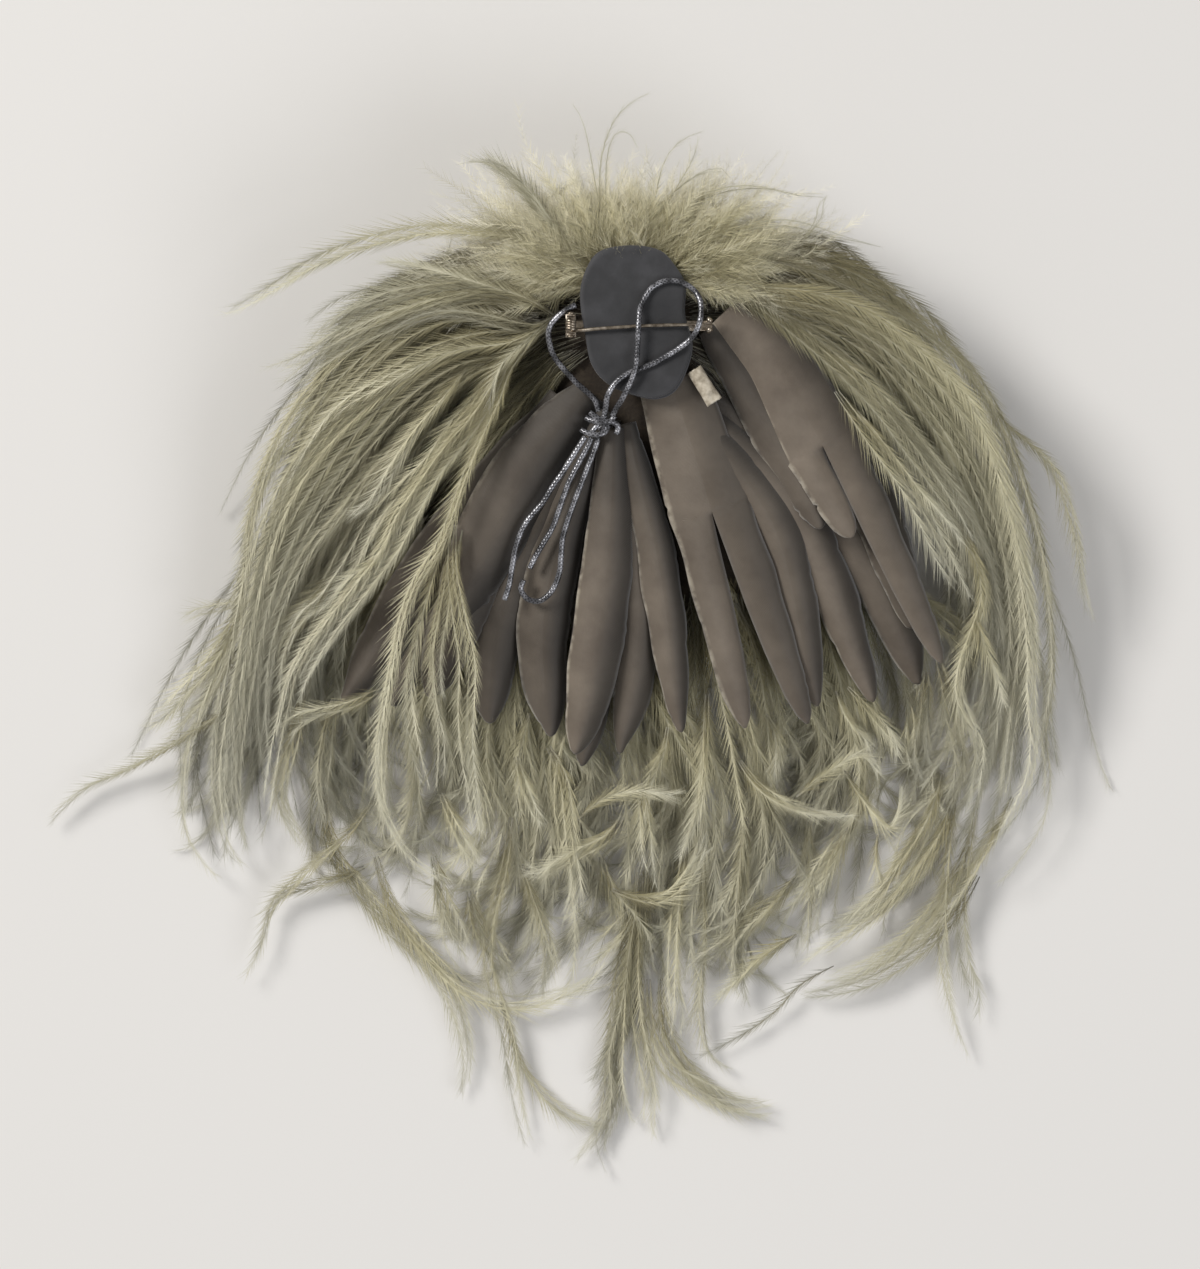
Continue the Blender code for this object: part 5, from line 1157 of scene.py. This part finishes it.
# Cambered strip along a plan path, with slightly ragged edges
def stripPoints(path, widths, layer, s, seed, columns, crown=1.0, roll=0.0, edges=(1.0, 1.0)):
    along = np.gradient(path, axis=0)
    along /= np.linalg.norm(along, axis=1)[:, None]
    side = np.column_stack([along[:, 1], -along[:, 0]])
    length = np.concatenate([[0.0], np.cumsum(np.linalg.norm(np.diff(path, axis=0), axis=1))])
    points, facts = [], []
    for row in range(len(path)):
        ragged = []
        for edge in (0, 1):
            spot = Vector((length[row] * 900.0, seed * 7.3 + edge * 3.1, 0.0))
            slow = noise.noise(Vector((length[row] * 90.0, seed * 3.7 + edge * 5.3, 1.0)))
            nicks = max(noise.noise(spot) - 0.28, 0.0) * -2.2
            ragged.append((slow * 1.3 + nicks) * s["nick"] * edges[edge])
        for column in range(columns):
            c = 2.0 * column / (columns - 1) - 1.0
            half = widths[row] / 2.0
            shift = ragged[0] * max(-c, 0.0) ** 3 * -1.0 + ragged[1] * max(c, 0.0) ** 3
            shift *= min(half / 1.5e-3, 1.0)
            xy = path[row] + side[row] * (c * half + shift)
            z = leafHeight(xy[0], xy[1], layer)
            bulge = s["camber"] * crown * min(half / 5.0e-3, 1.0)
            z += bulge * (0.35 - c * c - 0.5 * max(-c, 0.0) ** 2) + roll * c * half
            z -= s["sink"] * (3 - layer) * min(math.hypot(xy[0], xy[1]) / 0.06, 1.0) ** 2
            z += 0.25 * mm * noise.noise(Vector((xy[0] * 130.0, xy[1] * 130.0, seed * 1.9)))
            points.append((xy[0], xy[1], z))
            facts.append((c, c * half * 1000.0, length[row] * 1000.0))
    return points, facts


def stripFaces(first, rows, columns):
    faces = []
    for row in range(rows - 1):
        for column in range(columns - 1):
            a = first + row * columns + column
            faces.append((a, a + 1, a + columns + 1, a + columns))
    return faces


def finishLeaf(name, points, facts, faces, s, material):
    leaf = meshPiece(name + "Vane", points, faces, material)
    for index, attribute in enumerate(("across", "acrossMm", "alongMm")):
        setAttribute(leaf.data, attribute, [fact[index] for fact in facts])
    split = name in ("leaf_11", "leaf_17")
    setAttribute(leaf.data, "shade", [leafPaintedShade(name, fact[0], fact[2], split) for fact in facts])
    shape = bmesh.new()
    shape.from_mesh(leaf.data)
    bmesh.ops.remove_doubles(shape, verts=shape.verts, dist=0.00001)
    up = sum(face.normal.z for face in shape.faces)
    if up < 0.0:
        bmesh.ops.reverse_faces(shape, faces=shape.faces)
    shape.to_mesh(leaf.data)
    shape.free()
    wall = leaf.modifiers.new("wall", "SOLIDIFY")
    wall.thickness = s["wall"]
    wall.offset = 0.0
    bakedMesh(leaf)
    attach(leaf, "hairpiece")
    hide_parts(name)
    return leaf


def buildLeaf(index, row, s):
    name, layer, root, bend, tip, rootWidth, width = row
    count = s["rows"]
    path = smoothPath(np.array([root, bend, tip]) * span, count)
    ripple = np.sin(np.linspace(0.0, 6.28 * 1.5, count) + index) * np.linspace(0.0, 0.5 * mm, count)
    path[:, 0] += ripple
    places, shares = zip(*leafProfile)
    t = np.linspace(0.0, 1.0, count)
    swell = np.interp(t, places, shares)
    swell = np.convolve(np.pad(swell, 3, mode="edge"), np.ones(7) / 7.0, mode="valid")
    swell[-1] = 0.03
    widths = span * np.maximum(rootWidth * (1.0 - t), width * swell)
    roll = 0.16 * math.sin(index * 2.4)
    points, facts = stripPoints(path, widths, layer, s, index + 1, s["columns"], 1.0, roll)
    finishLeaf(name, points, facts, stripFaces(0, count, s["columns"]), s, taupeVane)


# Wide leaf whose vane parts into two fingers that share its middle line
def buildSplitLeaf(index, row, s):
    name, layer, root, bend, split, tipA, tipB, rootWidth, width = row
    columns = s["columns"] // 2 * 2 + 1
    rows = 30
    path = smoothPath(np.array([root, bend, split]) * span, rows)
    t = np.linspace(0.0, 1.0, rows)
    widths = span * (rootWidth + (width - rootWidth) * np.sin(math.pi / 2.0 * t))
    points, facts = stripPoints(path, widths, layer, s, 40 + index, columns, 0.8)
    faces = stripFaces(0, rows, columns)
    along = path[-1] - path[-2]
    along /= np.linalg.norm(along)
    side = np.array([along[1], -along[0]])
    half = columns // 2 + 1
    joint = points[-columns:]
    for sign, tip in ((1.0, tipA), (-1.0, tipB)):
        start = path[-1] + side * (sign * span * width / 4.0)
        target = np.array(tip) * span
        reach = np.linalg.norm(target - start)
        middle = (start + target) / 2.0 + along * reach * 0.04
        fingerRows = 36
        finger = smoothPath(np.array([start, middle, target]), fingerRows)
        places = np.linspace(0.0, 1.0, fingerRows)
        shares = np.interp(places, *zip(*fingerProfile))
        edges = (1.0, 0.0) if sign < 0 else (0.0, 1.0)
        fingerPoints, fingerFacts = stripPoints(finger, span * width / 2.0 * shares, layer, s,
                                                50 + index, half, 0.7, 0.0, edges)
        anchor = joint[:half] if sign < 0 else joint[half - 1:]
        blendRows = 8                             # rows in which a finger eases into the vane
        for r in range(1, blendRows):
            keep = 1.0 - r / blendRows
            for c in range(half):
                old = np.array(fingerPoints[r * half + c])
                drift = np.array(anchor[c]) - np.array(fingerPoints[c])
                fingerPoints[r * half + c] = tuple(old + drift * keep * keep)
        fingerPoints[:half] = list(anchor)
        fingerFacts = [((c + sign) / 2.0, a + sign * span * width * 250.0, b + t[-1] * 30.0)
                       for c, a, b in fingerFacts]
        first = len(points)
        points += fingerPoints
        facts += fingerFacts
        faces += stripFaces(first, fingerRows, half)
    finishLeaf(name, points, facts, faces, s, taupeVane)


for index, row in enumerate(leafRows):
    buildLeaf(index, row, leafSettings)
for index, row in enumerate(splitRows):
    buildSplitLeaf(index, row, leafSettings)


# Back pad

print("stage: pad, pin and cord")
padOutline = [
    (-0.05, 1.00), (0.45, 0.93), (0.73, 0.72), (0.88, 0.50), (0.87, 0.12), (1.00, -0.23),
    (0.95, -0.52), (0.72, -0.87), (0.36, -1.00), (-0.09, -0.94), (-0.51, -0.81),
    (-0.79, -0.56), (-0.90, -0.20), (-1.00, 0.34), (-0.88, 0.70), (-0.62, 0.93),
]
padSettings = {"width": 25.3 * mm, "length": 34.8 * mm, "fillet": 0.55 * mm, "dome": 0.35 * mm}


# Soft dents and two shallow folds in the suede
def padHeight(x, y):
    dent = 0.22 * mm * noise.noise(Vector((x * 140.0, y * 140.0, 4.0)))
    fold = math.exp(-((y - 4.5 * mm + 0.35 * x) / (1.1 * mm)) ** 2) * -0.16 * mm
    crease = math.exp(-((y + 8.5 * mm - 0.5 * x) / (0.9 * mm)) ** 2) * -0.14 * mm
    return dent + fold + crease


def buildPad(name, p, low, high, shift, grow, rimHighlight):
    sides, rings = 96, 14
    corners = [(x * p["width"] / 2.0, y * p["length"] / 2.0) for x, y in padOutline]
    closed = np.array([corners[-1]] + corners + corners[:2])
    dense = smoothPath(closed, 1 + (len(closed) - 1) * 40)
    loop = dense[40:-40]
    outline = loop[np.linspace(0, len(loop) - 1, sides, endpoint=False).astype(int)]
    outline = outline * (1.0 + grow) + np.array(shift)
    vertices, rim = [], []
    shares = [1.0 - (1.0 - step / rings) ** 1.6 for step in range(rings + 1)]
    for share in shares[1:]:
        for x, y in outline:
            edge = max((share - 0.94) / 0.06, 0.0)
            z = high - p["fillet"] * (1.0 - math.sqrt(max(1.0 - edge * edge, 0.0)))
            z += p["dome"] * (1.0 - share ** 2) + padHeight(x * share, y * share) * (1.0 - edge)
            vertices.append((x * share, y * share, z))
            rim.append(rimHighlight * edge)
    for x, y in outline:
        vertices.append((x, y, low + 0.1 * mm))
        rim.append(rimHighlight)
    for x, y in outline:
        vertices.append((x * 0.985, y * 0.985, low))
        rim.append(0.0)
    rows = rings + 2
    faces = ringFaces(rows, sides)
    vertices.append((0.0, 0.0, high + p["dome"] + padHeight(0.0, 0.0)))
    rim.append(0.0)
    centre = len(vertices) - 1
    faces += [(centre, (corner + 1) % sides, corner) for corner in range(sides)]
    last = (rows - 1) * sides
    faces.append(tuple(range(last, last + sides)))
    pad = meshPiece(name, vertices, faces, charcoalSuede)
    setAttribute(pad.data, "rim", rim)
    faceOutwards(pad)
    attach(pad, "hairpiece")
    return pad


padLow, padHigh = padBox[0][2], padBox[1][2]
padFace = buildPad("padFace", padSettings, padLow + 0.75 * mm, padHigh, (0.0, 0.0), 0.0, 0.55)
padBacking = buildPad("padBacking", dict(padSettings, dome=0.0, fillet=0.2 * mm), padLow,
                      padLow + 0.7 * mm, (0.45 * mm, -0.40 * mm), -0.005, 0.9)
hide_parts("back_pad")


# Pin

pinSettings = {
    "hingeX": -14.7 * mm, "hingeY": -0.9 * mm, "hingeZ": 43.0 * mm, "length": 31.4 * mm,
    "wire": 0.9 * mm, "coilRadius": 0.85 * mm, "coilTurns": 4, "barrel": 3.2 * mm,
}


# Tube through points: vertices, faces and the attributes of a cord
def sweep(points, radius, sides=12):
    points = np.asarray(points, dtype=float)
    count = len(points)
    radii = np.full(count, radius) if np.isscalar(radius) else np.asarray(radius)
    tangents = np.gradient(points, axis=0)
    tangents /= np.linalg.norm(tangents, axis=1)[:, None]
    normal = np.cross(tangents[0], [0.0, 0.0, 1.0])
    if np.linalg.norm(normal) < 1e-6:
        normal = np.array([1.0, 0.0, 0.0])
    normal /= np.linalg.norm(normal)
    length = np.concatenate([[0.0], np.cumsum(np.linalg.norm(np.diff(points, axis=0), axis=1))])
    vertices, around, along = [], [], []
    for index in range(count):
        normal = normal - tangents[index] * np.dot(normal, tangents[index])
        normal /= np.linalg.norm(normal)
        binormal = np.cross(tangents[index], normal)
        for corner in range(sides):
            turn = 2.0 * math.pi * corner / sides
            vertices.append(points[index] + radii[index] * (normal * math.cos(turn)
                                                            + binormal * math.sin(turn)))
            around.append(corner / sides)
            along.append(length[index] * 1000.0)
    faces = ringFaces(count, sides)
    faces.append(tuple(reversed(range(sides))))
    faces.append(tuple(range((count - 1) * sides, count * sides)))
    return vertices, faces, around, along


def tubePiece(name, points, radius, material, sides=12):
    vertices, faces, around, along = sweep(points, radius, sides)
    piece = meshPiece(name, vertices, faces, material)
    setAttribute(piece.data, "around", around)
    setAttribute(piece.data, "alongMm", along)
    return piece


# One object from several, keeping their attributes
def joinPieces(name, pieces):
    with bpy.context.temp_override(active_object=pieces[0], selected_editable_objects=pieces):
        bpy.ops.object.join()
    pieces[0].name = name
    pieces[0].data.name = name
    return pieces[0]


def buildArm(p):
    turns = p["coilTurns"]
    steps = 20 * turns
    coil = []
    for step in range(steps + 1):
        share = step / steps
        turn = -2.0 * math.pi * turns * share - math.pi / 2.0
        coil.append((p["hingeX"] + p["coilRadius"] * math.cos(turn),
                     p["hingeY"] + (0.5 - share) * (p["barrel"] - p["wire"]),
                     p["hingeZ"] + p["coilRadius"] * math.sin(turn)))
    lastY = coil[-1][1]
    wire = smoothPath([
        coil[-1],
        (p["hingeX"] + 2.4 * mm, lastY - 0.05 * mm, p["hingeZ"] - 0.35 * mm),
        (p["hingeX"] + 7.0 * mm, lastY + 0.35 * mm, p["hingeZ"] + 0.05 * mm),
        (p["hingeX"] + 18.0 * mm, p["hingeY"] - 0.15 * mm, p["hingeZ"] + 0.12 * mm),
        (p["hingeX"] + p["length"] + 0.6 * mm, p["hingeY"] + 0.1 * mm, p["hingeZ"]),
    ], 60)
    route = np.vstack([np.array(coil), wire[1:]])
    taper = np.full(len(route), p["wire"] * 0.46)
    taper[-10:] *= np.linspace(1.0, 0.25, 10)
    return tubePiece("needle", route, taper, agedNickel, 10)


arm = buildArm(pinSettings)
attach(arm, "pin_needle")
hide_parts("pin_arm")


def roundedBlock(name, low, high, bevel, material):
    shape = bmesh.new()
    bmesh.ops.create_cube(shape, size=1.0)
    for vertex in shape.verts:
        for axis in range(3):
            vertex.co[axis] = low[axis] if vertex.co[axis] < 0.0 else high[axis]
    bmesh.ops.bevel(shape, geom=shape.edges[:], offset=bevel, segments=3, profile=0.5, affect="EDGES")
    return shapePiece(name, shape, material)


def knob(name, centre, radii, material):
    shape = bmesh.new()
    bmesh.ops.create_uvsphere(shape, u_segments=18, v_segments=10, radius=1.0)
    for vertex in shape.verts:
        vertex.co = Vector((centre[axis] + vertex.co[axis] * radii[axis] for axis in range(3)))
    return shapePiece(name, shape, material)


# Stamped bar with riveted ears, and a catch of two curled prongs
def buildPinBar(p):
    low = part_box("pin_bar")[0]
    x, y, z = p["hingeX"], p["hingeY"], p["hingeZ"]
    barLow, barHigh = low[2], low[2] + 0.8 * mm
    pieces = [roundedBlock("bar", (x - 1.3 * mm, y - 1.2 * mm, barLow),
                           (x + p["length"] + 0.9 * mm, y + 1.2 * mm, barHigh), 0.25 * mm, agedNickel),
              roundedBlock("jointPlate", (x - 1.25 * mm, y - 2.75 * mm, barLow),
                           (x + 1.25 * mm, y + 2.75 * mm, barHigh), 0.25 * mm, agedNickel)]
    for sign in (-1.0, 1.0):
        earY = y + sign * 2.2 * mm
        pieces.append(roundedBlock("ear", (x - 0.95 * mm, earY - 0.3 * mm, barLow + 0.2 * mm),
                                   (x + 0.95 * mm, earY + 0.3 * mm, z + 0.75 * mm), 0.28 * mm,
                                   agedNickel))
        pieces.append(knob("rivetHead", (x, earY + sign * 0.45 * mm, z),
                           (0.85 * mm, 0.42 * mm, 0.85 * mm), agedNickel))
        prongX = x + p["length"]
        prongY = y + sign * 1.3 * mm
        curl = smoothPath([(prongX, prongY, barLow + 0.4 * mm),
                           (prongX, prongY + sign * 0.15 * mm, z - 1.6 * mm),
                           (prongX - 0.1 * mm, prongY + sign * 0.1 * mm, z + 0.2 * mm),
                           (prongX + 0.2 * mm, prongY - sign * 0.25 * mm, z + 0.75 * mm),
                           (prongX + 0.5 * mm, prongY - sign * 0.2 * mm, z + 0.2 * mm)], 24)
        pieces.append(tubePiece("prong", curl, 0.5 * mm, agedNickel, 12))
    return joinPieces("pinBar", pieces)


pinBar = buildPinBar(pinSettings)
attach(pinBar, "hairpiece")
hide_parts("pin_bar")


# Quill stub

stubSettings = {"x": 15.8 * mm, "y": -14.6 * mm, "turn": -58.0, "length": 8.8 * mm,
                "width": 3.9 * mm, "height": 2.9 * mm, "wall": 0.35 * mm}


# Thin hollow quill, open at both ends, and pinched into two lobes at the lower one
def buildStub(s):
    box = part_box("quill_stub")
    middle = box[0][2] + s["height"] / 2.0
    sides, rows = 36, 26
    turn = math.radians(s["turn"])
    along = Vector((math.cos(turn), math.sin(turn), 0.0))
    side = Vector((-math.sin(turn), math.cos(turn), 0.0))
    vertices = []
    for row in range(rows):
        place = row / (rows - 1) - 0.5
        pinch = float(smoothStep(0.1, 0.5, place))
        for corner in range(sides):
            angle = 2.0 * math.pi * corner / sides
            wide = (s["width"] - s["wall"]) / 2.0 * (0.93 + 0.07 * pinch)
            high = (s["height"] - s["wall"]) / 2.0 * (1.0 - 0.38 * pinch)
            lobe = 1.0 - 0.35 * pinch * math.exp(-(math.cos(angle) / 0.35) ** 2) * (math.sin(angle) > 0)
            spot = Vector((s["x"], s["y"], middle)) + along * (s["length"] * place)
            spot += side * (math.cos(angle) * wide)
            spot.z += math.sin(angle) * high * lobe
            spot += along * (0.25 * mm * noise.noise(Vector((corner * 0.7, row // 25 * 3.0, 2.0))))
            vertices.append(spot)
    faces = ringFaces(rows, sides)
    stub = meshPiece("quillEnd", vertices, faces, creamQuill)
    faceOutwards(stub)
    wall = stub.modifiers.new("wall", "SOLIDIFY")
    wall.thickness = s["wall"]
    wall.offset = 0.0
    return bakedMesh(stub)


stub = buildStub(stubSettings)
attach(stub, "hairpiece")
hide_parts("quill_stub")


# Elastic cord, on the routes of the frame

cordDiameter = 1.3 * mm
cordStrand = [
    (-13.7, 3.7, 41.3), (-15.2, 3.0, 41.8), (-16.6, 2.0, 42.0), (-18.0, 0.8, 41.8),
    (-19.3, -0.8, 41.5), (-19.8, -2.8, 41.2), (-19.6, -4.9, 41.0), (-18.8, -7.4, 40.8),
    (-17.2, -9.8, 40.6), (-13.6, -13.8, 40.2), (-10.4, -16.6, 39.7), (-9.0, -18.3, 39.2),
    (-8.4, -20.4, 38.9),
]
cordLoop = [
    (-5.2, -21.4, 38.9), (-4.2, -19.6, 40.0), (-3.1, -17.9, 41.7), (-2.1, -16.0, 42.6), (-0.7, -13.1, 43.4),
    (0.2, -9.9, 44.0), (0.5, -5.1, 44.2), (0.7, -1.8, 44.5), (0.9, 1.6, 43.9), (1.6, 4.2, 43.0),
    (3.4, 7.2, 42.6), (5.8, 8.8, 42.5), (8.1, 9.2, 42.5), (11.0, 8.7, 42.5), (13.5, 6.9, 42.7),
    (14.7, 4.8, 43.4), (15.0, 2.7, 44.2), (14.7, 0.0, 44.6), (13.9, -2.3, 44.1),
    (12.7, -4.0, 43.1), (10.1, -6.1, 42.6), (5.8, -8.7, 42.5), (1.8, -10.6, 42.4),
    (-1.8, -12.0, 42.4), (-4.6, -14.2, 42.4), (-6.3, -17.0, 41.8), (-6.7, -19.3, 40.2),
    (-7.0, -20.9, 39.2),
]
knotWraps = [
    [(-11.3, -21.9, 37.9), (-9.6, -22.6, 38.6), (-7.3, -22.8, 38.9), (-5.2, -22.9, 38.5),
     (-3.9, -23.9, 37.9), (-4.3, -25.6, 37.6)],
    [(-12.4, -24.6, 37.6), (-10.8, -25.4, 38.2), (-8.7, -25.8, 38.4), (-7.0, -25.2, 38.1),
     (-6.2, -23.6, 37.8)],
    [(-10.4, -20.7, 38.6), (-8.6, -22.0, 39.0), (-7.0, -24.0, 38.8), (-7.6, -25.6, 38.0)],
    [(-6.9, -21.2, 38.9), (-8.0, -22.8, 38.0), (-9.4, -24.4, 37.9), (-10.4, -25.6, 37.6)],
    [(-4.7, -21.4, 38.6), (-5.8, -22.8, 38.2), (-8.4, -24.4, 37.6)],
]
cordTails = {
    "cord_tail_left": [
        (-11.4, -26.2, 37.3), (-12.4, -27.6, 37.0), (-14.4, -30.8, 36.4), (-16.6, -34.2, 35.8),
        (-18.9, -37.5, 35.2),
        (-21.0, -40.9, 34.4), (-23.0, -43.2, 33.9), (-24.9, -45.6, 33.4), (-26.5, -48.7, 32.8),
        (-27.5, -52.0, 32.2), (-28.2, -55.8, 31.5), (-28.9, -60.0, 30.7), (-30.0, -63.4, 29.9)],
    "cord_tail_middle": [
        (-10.0, -26.4, 37.3), (-10.6, -27.9, 37.0), (-12.5, -31.4, 36.3), (-14.9, -36.0, 35.6),
        (-16.4, -39.8, 34.9),
        (-17.6, -43.4, 34.2), (-19.1, -47.2, 33.4), (-21.0, -50.4, 32.7), (-22.9, -53.6, 32.0),
        (-24.2, -56.2, 31.5)],
    "cord_tail_right": [
        (-8.6, -26.2, 37.3), (-8.8, -27.7, 37.0), (-10.3, -31.8, 36.4), (-12.3, -36.8, 35.6),
        (-14.3, -42.1, 34.7),
        (-15.6, -45.8, 34.0), (-16.6, -49.4, 33.3), (-17.0, -53.6, 32.5), (-17.4, -57.4, 31.8),
        (-19.0, -61.2, 31.0), (-21.7, -63.6, 30.3), (-24.6, -63.3, 30.3), (-26.2, -61.1, 30.7),
        (-25.6, -58.9, 31.2)],
}


def cordPath(points):
    points = np.array(points) * mm
    length = np.linalg.norm(np.diff(points, axis=0), axis=1).sum()
    return smoothPath(points, int(length / (0.35 * mm)))


def buildKnot():
    pieces = [tubePiece("wrap", cordPath(points), cordDiameter / 2.0, braidedElastic, 16)
              for points in knotWraps]
    return joinPieces("elasticKnot", pieces)


knot = buildKnot()
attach(knot, "hairpiece")
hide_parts("cord_knot")

strandPath = cordPath(cordStrand)
strand = tubePiece("elasticStrand", strandPath, cordDiameter / 2.0, braidedElastic, 16)
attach(strand, "hairpiece")
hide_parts("cord_strand")

loopPath = cordPath(cordLoop)
loop = tubePiece("elasticLoop", loopPath, cordDiameter / 2.0, braidedElastic, 16)
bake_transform(loop)
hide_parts("cord_loop")

for node, points in cordTails.items():
    tailPath = cordPath(points)
    tail = tubePiece("elastic_" + node, tailPath, cordDiameter / 2.0, braidedElastic, 16)
    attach(tail, "hairpiece")
    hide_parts(node)

print("stage: finished")
